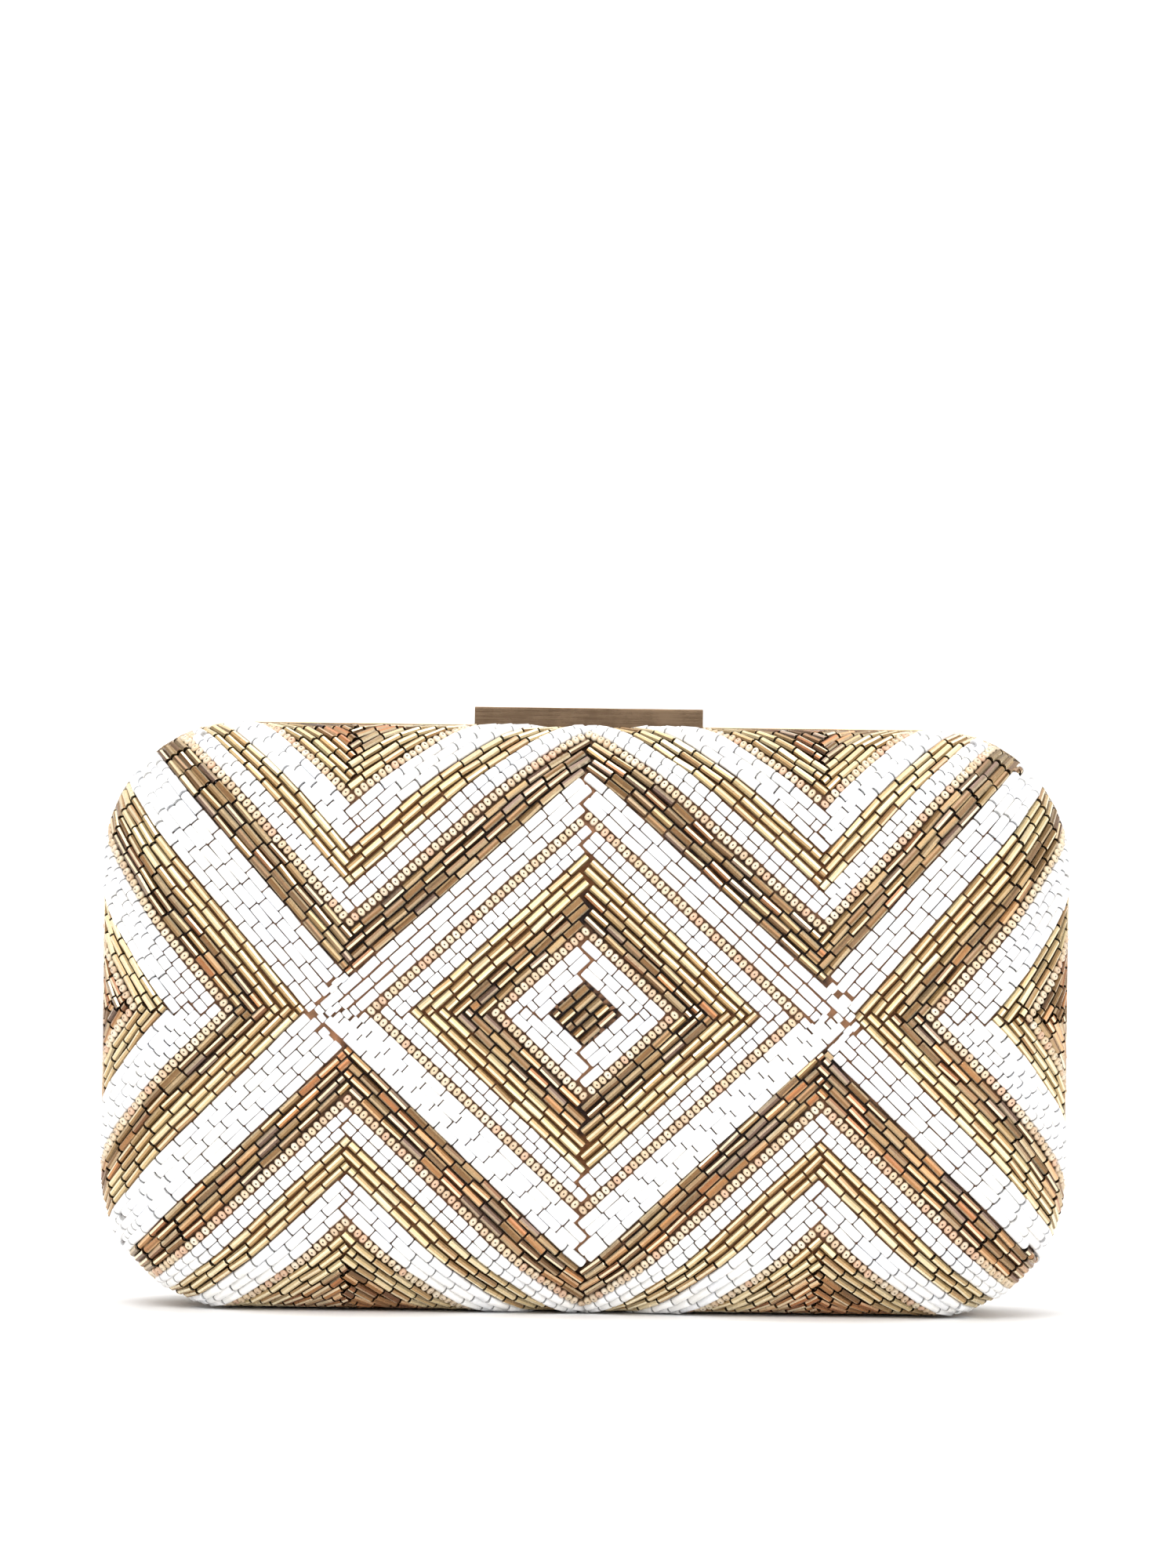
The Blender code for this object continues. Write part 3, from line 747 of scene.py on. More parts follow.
def painted_tube_light(kind, count, dice):
    """Painted highlight and shade on each face of one tube, by how far round it lies from the side that faces
    out; painted shade on its ends and in its hole.
    """
    sides = TUBE_SIDES
    right, left = kind.painted_facet_light[dice.integers(len(kind.painted_facet_light))]
    round_it = np.zeros(sides)
    for i in range(sides):
        turn = (i + 1) * 360 / sides - 90
        turn = (turn + 180) % 360 - 180
        shine = right if turn >= 0 else left
        round_it[i] = shine[min(int(abs(turn) * len(shine) / 180), len(shine) - 1)]
    round_it *= 0.94 + 0.12 * dice.random(sides)
    # Painted shade on the tube's ends and in its hole.
    painted_end_shade = 0.66 if kind.smooth else 0.14
    painted_shades = np.ones(count)
    painted_shades[: 5 * sides] = np.tile(round_it, 5)
    painted_shades[:sides] *= painted_end_shade
    painted_shades[4 * sides : 5 * sides] *= painted_end_shade
    painted_shades[5 * sides :] = 0.75 if kind.smooth else 0.12
    return painted_shades


def painted_seed_shade(count, dice):
    """Painted shade on a seed bead: darkest inside its hole, darker on the slope into the hole and
    underneath.
    """
    painted_shades = np.ones(count)
    around = count // 6
    # Painted shade: the hole darkest, the slope into it and the underside less light.
    painted_shades[5 * around :] = 0.10
    painted_shades[:around] = 0.45
    painted_shades[3 * around : 5 * around] = 0.45
    return painted_shades * (0.96 + 0.08 * dice.random(count))


# How unevenly beads sit, as slopes: out from the case, and sideways from their row.
TIP = 0.018
SWAY = 0.016


def bead_mesh(name, kind, beads, is_seed, dice):
    """One mesh of all the beads of a kind, with a tint, painted highlight and shade, and a place on the bead
    map for each face.
    """
    usual = kind.length if not beads else float(np.median([b.length for b in beads]))
    points, faces, smooth = (seed_shape if is_seed else bugle_shape)(kind, usual)
    if is_seed:
        painted_shades = [painted_seed_shade(len(faces), dice) for _ in kind.tints]
    else:
        painted_shades = [painted_tube_light(kind, len(faces), dice) for _ in kind.tints]
    count, corners = len(beads), [len(f) for f in faces]
    middle = np.array([b.middle for b in beads])
    axis = np.array([b.axis for b in beads])
    normal = np.array([b.normal for b in beads])
    length = np.array([b.length for b in beads]) / usual
    tip = normal * dice.normal(0, TIP, (count, 1))
    axis += tip + np.cross(normal, axis) * dice.normal(0, SWAY, (count, 1))
    axis /= np.linalg.norm(axis, axis=1, keepdims=True)
    middle = middle + np.cross(normal, axis) * dice.normal(0, 0.04 * MM, (count, 1))
    middle = middle + normal * dice.normal(0, 0.03 * MM, (count, 1))
    normal -= axis * (normal * axis).sum(1, keepdims=True)
    normal /= np.linalg.norm(normal, axis=1, keepdims=True)
    cross = np.cross(normal, axis)
    local = np.repeat(points[None], count, axis=0)
    local[:, :, 0] *= length[:, None]
    local[:, :, 1:] *= (1 + dice.normal(0, 0.018, count))[:, None, None]
    if is_seed:
        lean = dice.normal(0, 0.16, (count, 2))
        local[:, :, 2] += local[:, :, 0] * lean[:, :1] + local[:, :, 1] * lean[:, 1:]
    else:
        roll = dice.normal(0, 0.10, count)
        c, s = np.cos(roll)[:, None], np.sin(roll)[:, None]
        y, z = local[:, :, 1].copy(), local[:, :, 2].copy()
        local[:, :, 1], local[:, :, 2] = y * c - z * s, y * s + z * c
    world = (
        middle[:, None]
        + local[:, :, :1] * axis[:, None]
        + local[:, :, 1:2] * cross[:, None]
        + local[:, :, 2:] * normal[:, None]
    )
    loops = np.concatenate([np.array(f) for f in faces])
    every_loop = (np.arange(count)[:, None] * len(points) + loops).ravel()
    totals = np.tile(np.array(corners), count)
    starts = np.concatenate([[0], np.cumsum(totals)[:-1]])
    mesh = bpy.data.meshes.new(name)
    mesh.vertices.add(count * len(points))
    mesh.vertices.foreach_set("co", world.astype(np.float32).ravel())
    mesh.loops.add(len(every_loop))
    mesh.loops.foreach_set("vertex_index", every_loop.astype(np.int32))
    mesh.polygons.add(len(totals))
    mesh.polygons.foreach_set("loop_start", starts.astype(np.int32))
    mesh.polygons.foreach_set("loop_total", totals.astype(np.int32))
    mesh.polygons.foreach_set("use_smooth", np.tile(np.array(smooth), count))
    mesh.update(calc_edges=True)
    variant = dice.integers(0, len(kind.tints), count)
    paint_beads(mesh, kind, variant, painted_shades, corners)
    return mesh


def paint_beads(mesh, kind, variant, painted_shades, corners):
    """Writes the tint of every face with its painted highlight and shade, and its own small patch of the bead
    map, one column a tint.
    """
    corners = np.array(corners)
    tints = np.array(kind.tints)
    faces, columns = len(corners), len(tints)
    colour = np.ones((columns, corners.sum(), 4), np.float32)
    patch = np.zeros((columns, corners.sum(), 2), np.float32)
    edge = 0.12
    square = np.array([(edge, edge), (1 - edge, edge), (1 - edge, 1 - edge), (edge, 1 - edge)])
    inside = np.concatenate([square[:n] for n in corners])
    row = np.repeat(np.arange(faces), corners)
    for column in range(columns):
        shade = np.repeat(painted_shades[column], corners)
        # The tint darkened by painted shade, and turned towards the glint colour by painted highlight.
        dark = tints[column][None] * np.minimum(shade, 1)[:, None]
        colour[column, :, :3] = dark + (np.array(GLINT) - dark) * np.clip(shade - 1, 0, 1)[:, None]
        patch[column, :, 0] = (column + inside[:, 0]) / columns
        patch[column, :, 1] = (row + inside[:, 1]) / faces
    layer = mesh.color_attributes.new(TINT_AND_LIGHT, "FLOAT_COLOR", "CORNER")
    layer.data.foreach_set("color", colour[variant].ravel())
    chart = mesh.uv_layers.new(name=BEAD_MAP)
    chart.data.foreach_set("uv", patch[variant].ravel())


# ---------------------------------------------------------------- finishes


def new_finish(name):
    """A new material with its node tree, ready for make_node calls."""
    material = bpy.data.materials.new(name)
    material.use_nodes = True
    tree = material.node_tree
    tree.nodes.clear()
    shader = tree.nodes.new("ShaderNodeBsdfPrincipled")
    output = tree.nodes.new("ShaderNodeOutputMaterial")
    tree.links.new(shader.outputs["BSDF"], output.inputs["Surface"])
    return material, tree, shader


def make_node(tree, kind, links=(), **values):
    """Adds a node, sets its plain values by socket name or property and links its inputs."""
    node = tree.nodes.new(kind)
    for key, value in values.items():
        if key in node.inputs:
            node.inputs[key].default_value = value
        else:
            setattr(node, key, value)
    for socket, source in dict(links).items():
        tree.links.new(source, node.inputs[socket])
    return node


def place_of(tree, stretch=(1, 1, 1)):
    """The piece's own coordinates in metres, stretched along each axis."""
    where = make_node(tree, "ShaderNodeTexCoord")
    scale = make_node(tree, "ShaderNodeMapping", {"Vector": where.outputs["Object"]})
    scale.inputs["Scale"].default_value = stretch
    return scale.outputs["Vector"]


def noise(tree, place, scale, detail=3.0, roughness=0.5):
    return make_node(
        tree,
        "ShaderNodeTexNoise",
        {"Vector": place},
        Scale=scale,
        Detail=detail,
        Roughness=roughness,
    ).outputs["Fac"]


def ramp(tree, factor, stops):
    """A colour ramp from (place, colour) stops."""
    node = make_node(tree, "ShaderNodeValToRGB", {"Fac": factor})
    elements = node.color_ramp.elements
    while len(elements) < len(stops):
        elements.new(0.5)
    for element, (place, colour) in zip(elements, stops):
        element.position = place
        element.color = (*colour, 1)
    return node.outputs["Color"]


def span(tree, factor, low, high, start=0.3, end=0.7):
    """The factor from start to end turned into a value from low to high."""
    node = make_node(tree, "ShaderNodeMapRange", {"Value": factor})
    node.inputs["From Min"].default_value = start
    node.inputs["From Max"].default_value = end
    node.inputs["To Min"].default_value = low
    node.inputs["To Max"].default_value = high
    return node.outputs["Result"]


def maths(tree, operation, first, second):
    node = tree.nodes.new("ShaderNodeMath")
    node.operation = operation
    for socket, value in zip(node.inputs, (first, second)):
        if isinstance(value, (int, float)):
            socket.default_value = value
        else:
            tree.links.new(value, socket)
    return node.outputs[0]


def relief(tree, shader, height, depth, strength=0.6):
    """Small relief from a height, depth in metres."""
    bump = make_node(tree, "ShaderNodeBump", {"Height": height}, Strength=strength, Distance=depth)
    tree.links.new(bump.outputs["Normal"], shader.inputs["Normal"])


def set_shader(shader, **values):
    for key, value in values.items():
        shader.inputs[key.replace("_", " ")].default_value = value


def bead_finish(name, metal, gloss, coat, haze=0.0):
    """Glass beads: each face has its own tint with painted highlight and shade, with fine changes of gloss
    from bead to bead.
    """
    material, tree, shader = new_finish(name)
    tint = make_node(tree, "ShaderNodeAttribute", attribute_name=TINT_AND_LIGHT)
    place = place_of(tree)
    cloud = noise(tree, place, 420, 2)
    shade = span(tree, cloud, 0.95, 1.03)
    mix = make_node(tree, "ShaderNodeVectorMath", operation="SCALE")
    tree.links.new(tint.outputs["Color"], mix.inputs[0])
    tree.links.new(shade, mix.inputs["Scale"])
    tree.links.new(mix.outputs["Vector"], shader.inputs["Base Color"])
    tree.links.new(span(tree, cloud, gloss * 0.8, gloss * 1.25), shader.inputs["Roughness"])
    set_shader(shader, Metallic=metal, Coat_Weight=coat, Coat_Roughness=0.06, IOR=1.52)
    if haze:
        set_shader(shader, Subsurface_Weight=haze, Subsurface_Scale=0.0008)
    return material


def weave_height(tree, place, threads):
    """Over and under of a plain weave, with this many threads to the metre."""
    apart = make_node(tree, "ShaderNodeSeparateXYZ", {"Vector": place})
    turns = math.pi * threads
    across = maths(tree, "SINE", maths(tree, "MULTIPLY", apart.outputs["X"], turns), 0)
    up = maths(tree, "SINE", maths(tree, "MULTIPLY", apart.outputs["Z"], turns), 0)
    return maths(tree, "MULTIPLY", across, up)


def cloth_finish(name, colour, deep, sheen, threads, gloss):
    """Satin: a fine weave, soft sheen and slow changes of shade."""
    material, tree, shader = new_finish(name)
    place = place_of(tree)
    weave = weave_height(tree, place, threads)
    slow = noise(tree, place, 45, 3)
    slub = noise(tree, place_of(tree, (1, 1, 12)), 260, 2)
    shade = maths(tree, "ADD", maths(tree, "MULTIPLY", slow, 0.65), maths(tree, "MULTIPLY", slub, 0.35))
    tree.links.new(ramp(tree, shade, ((0.3, deep), (0.62, colour))), shader.inputs["Base Color"])
    tree.links.new(span(tree, slub, gloss * 0.85, gloss * 1.2), shader.inputs["Roughness"])
    set_shader(shader, Sheen_Weight=sheen, Sheen_Roughness=0.35, Specular_IOR_Level=0.35)
    relief(tree, shader, maths(tree, "ADD", weave, maths(tree, "MULTIPLY", slub, 0.6)), 0.00006)
    return material


def base_cloth_finish(name):
    """The satin under the beads, with the painted shade that the mesh carries, and its weave."""
    material, tree, shader = new_finish(name)
    place = place_of(tree)
    # The attribute holds the cloth's colour with painted shade between the beads.
    painted_shade = make_node(tree, "ShaderNodeAttribute", attribute_name=CLOTH_SHADE)
    slub = noise(tree, place, 300, 3)
    mix = make_node(tree, "ShaderNodeVectorMath", operation="SCALE")
    tree.links.new(painted_shade.outputs["Color"], mix.inputs[0])
    tree.links.new(span(tree, slub, 0.82, 1.12), mix.inputs["Scale"])
    tree.links.new(mix.outputs["Vector"], shader.inputs["Base Color"])
    tree.links.new(span(tree, slub, 0.45, 0.65), shader.inputs["Roughness"])
    set_shader(shader, Sheen_Weight=0.15, Sheen_Roughness=0.4, Specular_IOR_Level=0.3)
    weave = weave_height(tree, place, 3200)
    relief(tree, shader, maths(tree, "ADD", weave, maths(tree, "MULTIPLY", slub, 0.6)), 0.00005)
    return material


def metal_finish(name, colour, worn, low_gloss, high_gloss, grain=(1, 60, 60), depth=0.000012):
    """Plated metal, drawn or brushed along X, with rubbed places and small scratches."""
    material, tree, shader = new_finish(name)
    fine = noise(tree, place_of(tree, grain), 90, 4, 0.65)
    cloud = noise(tree, place_of(tree), 140, 4, 0.6)
    mixed = maths(tree, "ADD", maths(tree, "MULTIPLY", fine, 0.5), maths(tree, "MULTIPLY", cloud, 0.5))
    tree.links.new(ramp(tree, mixed, ((0.36, worn), (0.6, colour))), shader.inputs["Base Color"])
    tree.links.new(span(tree, mixed, low_gloss, high_gloss), shader.inputs["Roughness"])
    set_shader(shader, Metallic=1.0)
    relief(tree, shader, fine, depth, 0.5)
    return material


def board_finish(name, colour, dark):
    """Moulded board with a fine grain."""
    material, tree, shader = new_finish(name)
    place = place_of(tree)
    grain = noise(tree, place, 900, 3)
    tone = ramp(tree, noise(tree, place, 60, 2), ((0.35, dark), (0.65, colour)))
    tree.links.new(tone, shader.inputs["Base Color"])
    tree.links.new(span(tree, grain, 0.55, 0.75), shader.inputs["Roughness"])
    relief(tree, shader, grain, 0.00008)
    return material


def foam_finish(name, colour, dark):
    """Open-cell foam with small pores, with painted shade in the pores."""
    material, tree, shader = new_finish(name)
    place = place_of(tree)
    pores = make_node(tree, "ShaderNodeTexVoronoi", {"Vector": place}, Scale=1400.0).outputs["Distance"]
    # Painted shade in the pores.
    tree.links.new(ramp(tree, pores, ((0.1, dark), (0.5, colour))), shader.inputs["Base Color"])
    set_shader(shader, Roughness=0.9, Sheen_Weight=0.15)
    relief(tree, shader, pores, 0.0002)
    return material


# ---------------------------------------------------------------- layers of the case


def outline_ring(inset, straight_steps=(26, 12), corner_steps=14):
    """Points of the case's outline at an inset, (x, z), going round once."""
    radius = max(CORNER_RADIUS - inset, 0.4 * MM)
    flat_x, flat_z = FACE_SQUARE
    if CORNER_RADIUS - inset < radius:
        flat_x, flat_z = HALF_WIDTH - inset - radius, HALF_HEIGHT - inset - radius
    ring = []
    turns = ((1, -1), (1, 1), (-1, 1), (-1, -1))
    for quarter, (sx, sz) in enumerate(turns):
        middle = (sx * flat_x, sz * flat_z)
        start = math.radians(-90 + 90 * quarter)
        for i in range(corner_steps):
            angle = start + math.radians(90) * i / (corner_steps - 1)
            ring.append((middle[0] + radius * math.cos(angle), middle[1] + radius * math.sin(angle)))
        following = turns[(quarter + 1) % 4]
        a = np.array(ring[-1])
        turn = start + math.radians(90)
        b = np.array((following[0] * flat_x, following[1] * flat_z))
        b = b + radius * np.array((math.cos(turn), math.sin(turn)))
        steps = straight_steps[0] if quarter % 2 else straight_steps[1]
        for i in range(1, steps):
            ring.append(tuple(a + (b - a) * i / steps))
    return np.array(ring)


COARSE_FACE = (0.86, 0.7, 0.5, 0.3, 0.12)
FINE_FACE = tuple(1 - (i + 1) / 40 for i in range(39))


def layer_rings(depth, side, start, swollen=0.0, face_shares=COARSE_FACE, edge_steps=12):
    """Rings of one surface of a layer, from the rail to the middle of the face."""
    rings = []
    inset = PANEL_INSET + depth

    def add(ring, y):
        rings.append(np.column_stack([ring[:, 0], np.full(len(ring), side * y), ring[:, 1] + MIDDLE_Z]))

    add(outline_ring(inset), start)
    if start < RAIL_FACE:
        add(outline_ring(inset), RAIL_FACE)
    for i in range(1, edge_steps + 1):
        turn = math.pi / 2 * i / edge_steps
        push = swollen * float(swell(turn))
        ring = outline_ring(inset + (EDGE_ROUNDING - depth) * (1 - math.cos(turn)) - push)
        add(ring, RAIL_FACE + (FACE_RISE - depth) * math.sin(turn))
    face = outline_ring(FACE_INSET)
    top = RAIL_FACE + FACE_RISE - depth
    for share in face_shares:
        add(face * share, top + CROWN * (1 - share * share))
    return rings, np.array((0, side * (top + CROWN), MIDDLE_Z))


def layer_mesh(name, depth, thickness, side, start, swollen=(0.0, 0.0), face=COARSE_FACE, shape=None):
    """A closed thin shell between two depths under the beads, smooth, with shape moving its points."""
    outer, outer_middle = layer_rings(depth, side, start, swollen[0], face)
    inner, inner_middle = layer_rings(depth + thickness, side, start, swollen[1], face)
    around = len(outer[0])
    points = np.concatenate([*outer, outer_middle[None], *inner, inner_middle[None]])
    if shape:
        points = shape(points, side)
    faces = []
    second = len(outer) * around + 1
    for base, count, flip in ((0, len(outer), side > 0), (second, len(inner), side < 0)):
        for ring in range(count - 1):
            for i in range(around):
                a, b = base + ring * around + i, base + ring * around + (i + 1) % around
                quad = (a, b, b + around, a + around)
                faces.append(quad[::-1] if flip else quad)
        middle = base + count * around
        for i in range(around):
            a, b = middle - around + i, middle - around + (i + 1) % around
            faces.append((b, a, middle) if flip else (a, b, middle))
    for i in range(around):
        j = (i + 1) % around
        quad = (j, i, second + i, second + j)
        faces.append(quad[::-1] if side > 0 else quad)
    mesh = bpy.data.meshes.new(name)
    mesh.from_pydata([tuple(p) for p in points], [], faces)
    mesh.polygons.foreach_set("use_smooth", [True] * len(mesh.polygons))
    mesh.update()
    return mesh


def paint_shade_on_cloth(mesh, laid, plain):
    """Colours the cloth with painted shade by the beads that lie nearest, and leaves it plain where none do.
    """
    kinds, total = list(laid), sum(3 * len(beads) for beads in laid.values())
    near = KDTree(total)
    owners = []
    for number, kind in enumerate(kinds):
        for bead in laid[kind]:
            for share in (-0.4, 0.0, 0.4):
                near.insert(bead.middle + bead.axis * (bead.length * share), len(owners))
                owners.append(number)
    near.balance()
    colours = np.ones((len(mesh.vertices), 4), np.float32)
    for i, vertex in enumerate(mesh.vertices):
        _, owner, distance = near.find(vertex.co)
        away = min(max((distance - SHADE_NEAR) / SHADE_FADE, 0.0), 1.0)
        under = SHADE_UNDER_BEADS[kinds[owners[owner]]]
        colours[i, :3] = [a + (b - a) * away for a, b in zip(under, plain)]
    layer = mesh.color_attributes.new(CLOTH_SHADE, "FLOAT_COLOR", "POINT")
    layer.data.foreach_set("color", colours.ravel())


def add_piece(name, mesh, finish, body):
    """Puts a mesh in the scene as a piece that moves with a body."""
    piece = bpy.data.objects.new(name, mesh)
    bpy.context.scene.collection.objects.link(piece)
    if finish:
        mesh.materials.append(finish)
    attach(piece, body)
    return piece


def cut_size(depth, start):
    """(width, height, area) of the flat cut that covers a layer."""
    reach = math.pi / 2 * math.sqrt(((EDGE_ROUNDING - depth) ** 2 + (FACE_RISE - depth) ** 2) / 2)
    reach += max(RAIL_FACE - start, 0)
    half = [side + FACE_CORNER + reach for side in FACE_SQUARE]
    corner = FACE_CORNER + reach
    return 2 * half[0], 2 * half[1], 4 * half[0] * half[1] - (4 - math.pi) * corner * corner


def pucker(points, side):
    """Draws the lining in with small even gathers where it is held at the rail."""
    moved = points.copy()
    depth = np.abs(points[:, 1])
    inside = depth - LINING_START
    near_rail = np.clip(1 - inside / (9 * MM), 0, 1) * np.clip(inside / (1.2 * MM), 0, 1)
    flat_x = np.clip(points[:, 0], -FACE_SQUARE[0], FACE_SQUARE[0])
    flat_z = np.clip(points[:, 2] - MIDDLE_Z, -FACE_SQUARE[1], FACE_SQUARE[1])
    out = np.column_stack([points[:, 0] - flat_x, points[:, 2] - MIDDLE_Z - flat_z])
    size = np.maximum(np.linalg.norm(out, axis=1, keepdims=True), 1e-6)
    way = np.arctan2(points[:, 2] - MIDDLE_Z, points[:, 0] * 0.6)
    wave = 0.5 + 0.5 * np.sin(way * 46 + 0.7 * np.sin(way * 7))
    draw = 0.45 * MM * near_rail * wave
    moved[:, [0, 2]] -= out / size * draw[:, None]
    return moved


# ---------------------------------------------------------------- settings


def colour_property(name, description, default):
    """A colour that the maker can change."""
    return FloatVectorProperty(
        name=name,
        description=description,
        subtype="COLOR",
        size=3,
        min=0,
        max=1,
        default=default,
    )


class BeadSettings(bpy.types.PropertyGroup):
    """Beads and the cloth that they are sewn to."""

    seed: IntProperty(
        name="Pattern of chance",
        description="Changes how the beads' tints and leans fall",
        default=11,
        min=0,
    )
    cloth: colour_property("Base cloth", "Colour of the satin under the beads", rgb(212, 148, 104))


class LiningSettings(bpy.types.PropertyGroup):
    """The inside of the bag."""

    satin: colour_property("Lining", "Colour of the lining satin", rgb(222, 200, 168))
    satin_shade: colour_property("Lining, shaded", "The lining's colour in its folds", rgb(182, 156, 122))
    stitch: FloatProperty(
        name="Stitch length",
        description="Length of the pocket's stitches",
        default=1.6 * MM,
        min=0.8 * MM,
        max=4 * MM,
        unit="LENGTH",
    )


class MetalSettings(bpy.types.PropertyGroup):
    """Rails, clasp and hinges."""

    plating: colour_property("Plating", "Colour of the pale gold plating", rgb(206, 184, 156))
    rubbed: colour_property("Plating, rubbed", "The plating's colour where it is dull", rgb(168, 144, 120))
    bar: colour_property("Clasp bar", "Colour of the brushed clasp bar", rgb(132, 110, 88))
    bar_rubbed: colour_property(
        "Clasp bar, rubbed",
        "The clasp bar's colour where it is dull",
        rgb(102, 82, 64),
    )


class StageSettings(bpy.types.PropertyGroup):
    """Floor, lights and camera."""

    lens: FloatProperty(name="Lens", description="Focal length of the camera", default=135.0, min=50, max=300)
    view_height: FloatProperty(
        name="Height in view",
        description="How much height the picture takes in at the bag",
        default=342.8 * MM,
        min=0.2,
        max=2,
        unit="LENGTH",
    )
    elevation: FloatProperty(
        name="Elevation",
        description="How far the camera looks down on the bag",
        default=math.radians(2.5),
        min=0,
        max=1.2,
        subtype="ANGLE",
    )
    roll: FloatProperty(
        name="Roll",
        description="Tilt of the picture",
        default=math.radians(0.75),
        min=-0.2,
        max=0.2,
        subtype="ANGLE",
    )
    drop: FloatProperty(
        name="Drop",
        description="How far under the picture's middle the bag's middle lies",
        default=50.9 * MM,
        min=-0.2,
        max=0.2,
        unit="LENGTH",
    )


# ---------------------------------------------------------------- pieces


class BAG_OT_base_cloth(bpy.types.Operator):
    """Stretch the satin that carries the beads over both halves"""

    bl_idname = "evening_bag.base_cloth"
    bl_label = "Base cloth"

    def execute(self, context):
        settings = context.scene.bag_beads
        finish = base_cloth_finish("base_satin")
        for number, (half, side) in enumerate(HALVES):
            name = f"{half}_base_cloth"
            mesh = layer_mesh(name, CLOTH_DEPTH, CLOTH_THICKNESS, side, RIM_DEPTH, (1.0, 1.0), FINE_FACE)
            # Paints shade on the cloth between the beads.
            paint_shade_on_cloth(mesh, lay_beads(side, settings.seed + number), settings.cloth)
            piece = add_piece(name, mesh, finish, f"{half}_half")
            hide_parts(f"{half}_beaded_panel")
            width, height, area = cut_size(CLOTH_DEPTH, RIM_DEPTH)
        return {"FINISHED"}


class BAG_OT_beads(bpy.types.Operator):
    """Sew the bugles and seed beads onto both halves"""

    bl_idname = "evening_bag.beads"
    bl_label = "Beads"

    def execute(self, context):
        finishes = {
            "bronze_bugles": bead_finish("bronze_glass", 0.6, 0.26, 0.3),
            "copper_bugles": bead_finish("copper_glass", 0.6, 0.28, 0.3),
            "light_gold_bugles": bead_finish("light_gold_glass", 0.4, 0.26, 0.3),
            "white_bugles": bead_finish("pearl_glass", 0.0, 0.28, 0.3),
            "short_white_bugles": bead_finish("short_pearl_glass", 0.0, 0.3, 0.3),
            "seed_beads": bead_finish("champagne_glass", 0.1, 0.2, 0.4),
        }
        for number, (half, side) in enumerate(HALVES):
            seed = context.scene.bag_beads.seed + number
            laid = lay_beads(side, seed)
            for kind, beads in laid.items():
                if not beads:
                    raise RuntimeError(f"no {kind} were laid on the {half} half")
                dice = np.random.default_rng([seed, len(kind)])
                name = f"{half}_{kind}"
                mesh = bead_mesh(name, KINDS[kind], beads, kind == "seed_beads", dice)
                add_piece(name, mesh, finishes[kind], f"{half}_half")
        return {"FINISHED"}


class BAG_OT_foam(bpy.types.Operator):
    """Lay the foam between the shells and the base cloth"""

    bl_idname = "evening_bag.foam"
    bl_label = "Foam"

    def execute(self, context):
        finish = foam_finish("cream_foam", rgb(236, 226, 204), rgb(196, 182, 154))
        for half, side in HALVES:
            name = f"{half}_foam"
            mesh = layer_mesh(name, FOAM_DEPTH, FOAM_THICKNESS, side, RIM_DEPTH, (0.9, 0.0))
            piece = add_piece(name, mesh, finish, f"{half}_half")
            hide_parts(f"{half}_padding")
        return {"FINISHED"}


class BAG_OT_lining(bpy.types.Operator):
    """Line both halves with satin"""

    bl_idname = "evening_bag.lining"
    bl_label = "Lining"

    def execute(self, context):
        settings = context.scene.bag_lining
        finish = cloth_finish("lining_satin", settings.satin, settings.satin_shade, 0.5, 4200, 0.42)
        for half, side in HALVES:
            name = f"{half}_satin"
            mesh = layer_mesh(name, LINING_DEPTH, LINING_THICKNESS, side, LINING_START, shape=pucker)
            piece = add_piece(name, mesh, finish, f"{half}_half")
            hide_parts(f"{half}_lining")
            width, height, area = cut_size(LINING_DEPTH, LINING_START)
        return {"FINISHED"}


class BAG_OT_pocket(bpy.types.Operator):
    """Sew the slip pocket onto the rear lining"""

    bl_idname = "evening_bag.pocket"
    bl_label = "Slip pocket"

    def execute(self, context):
        low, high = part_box("slip_pocket")
        settings = context.scene.bag_lining
        finish = cloth_finish("pocket_satin", settings.satin, settings.satin_shade, 0.5, 4200, 0.42)
        mesh = pocket_mesh("pocket", low, high)
        pocket = add_piece("pocket", mesh, finish, "rear_half")
        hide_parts("slip_pocket")
        stitches = stitch_mesh("pocket_stitches", low, high, settings.stitch)
        thread = cloth_finish("cream_thread", rgb(240, 228, 206), rgb(214, 198, 170), 0.3, 9000, 0.6)
        add_piece("pocket_stitches", stitches, thread, "rear_half")
        return {"FINISHED"}


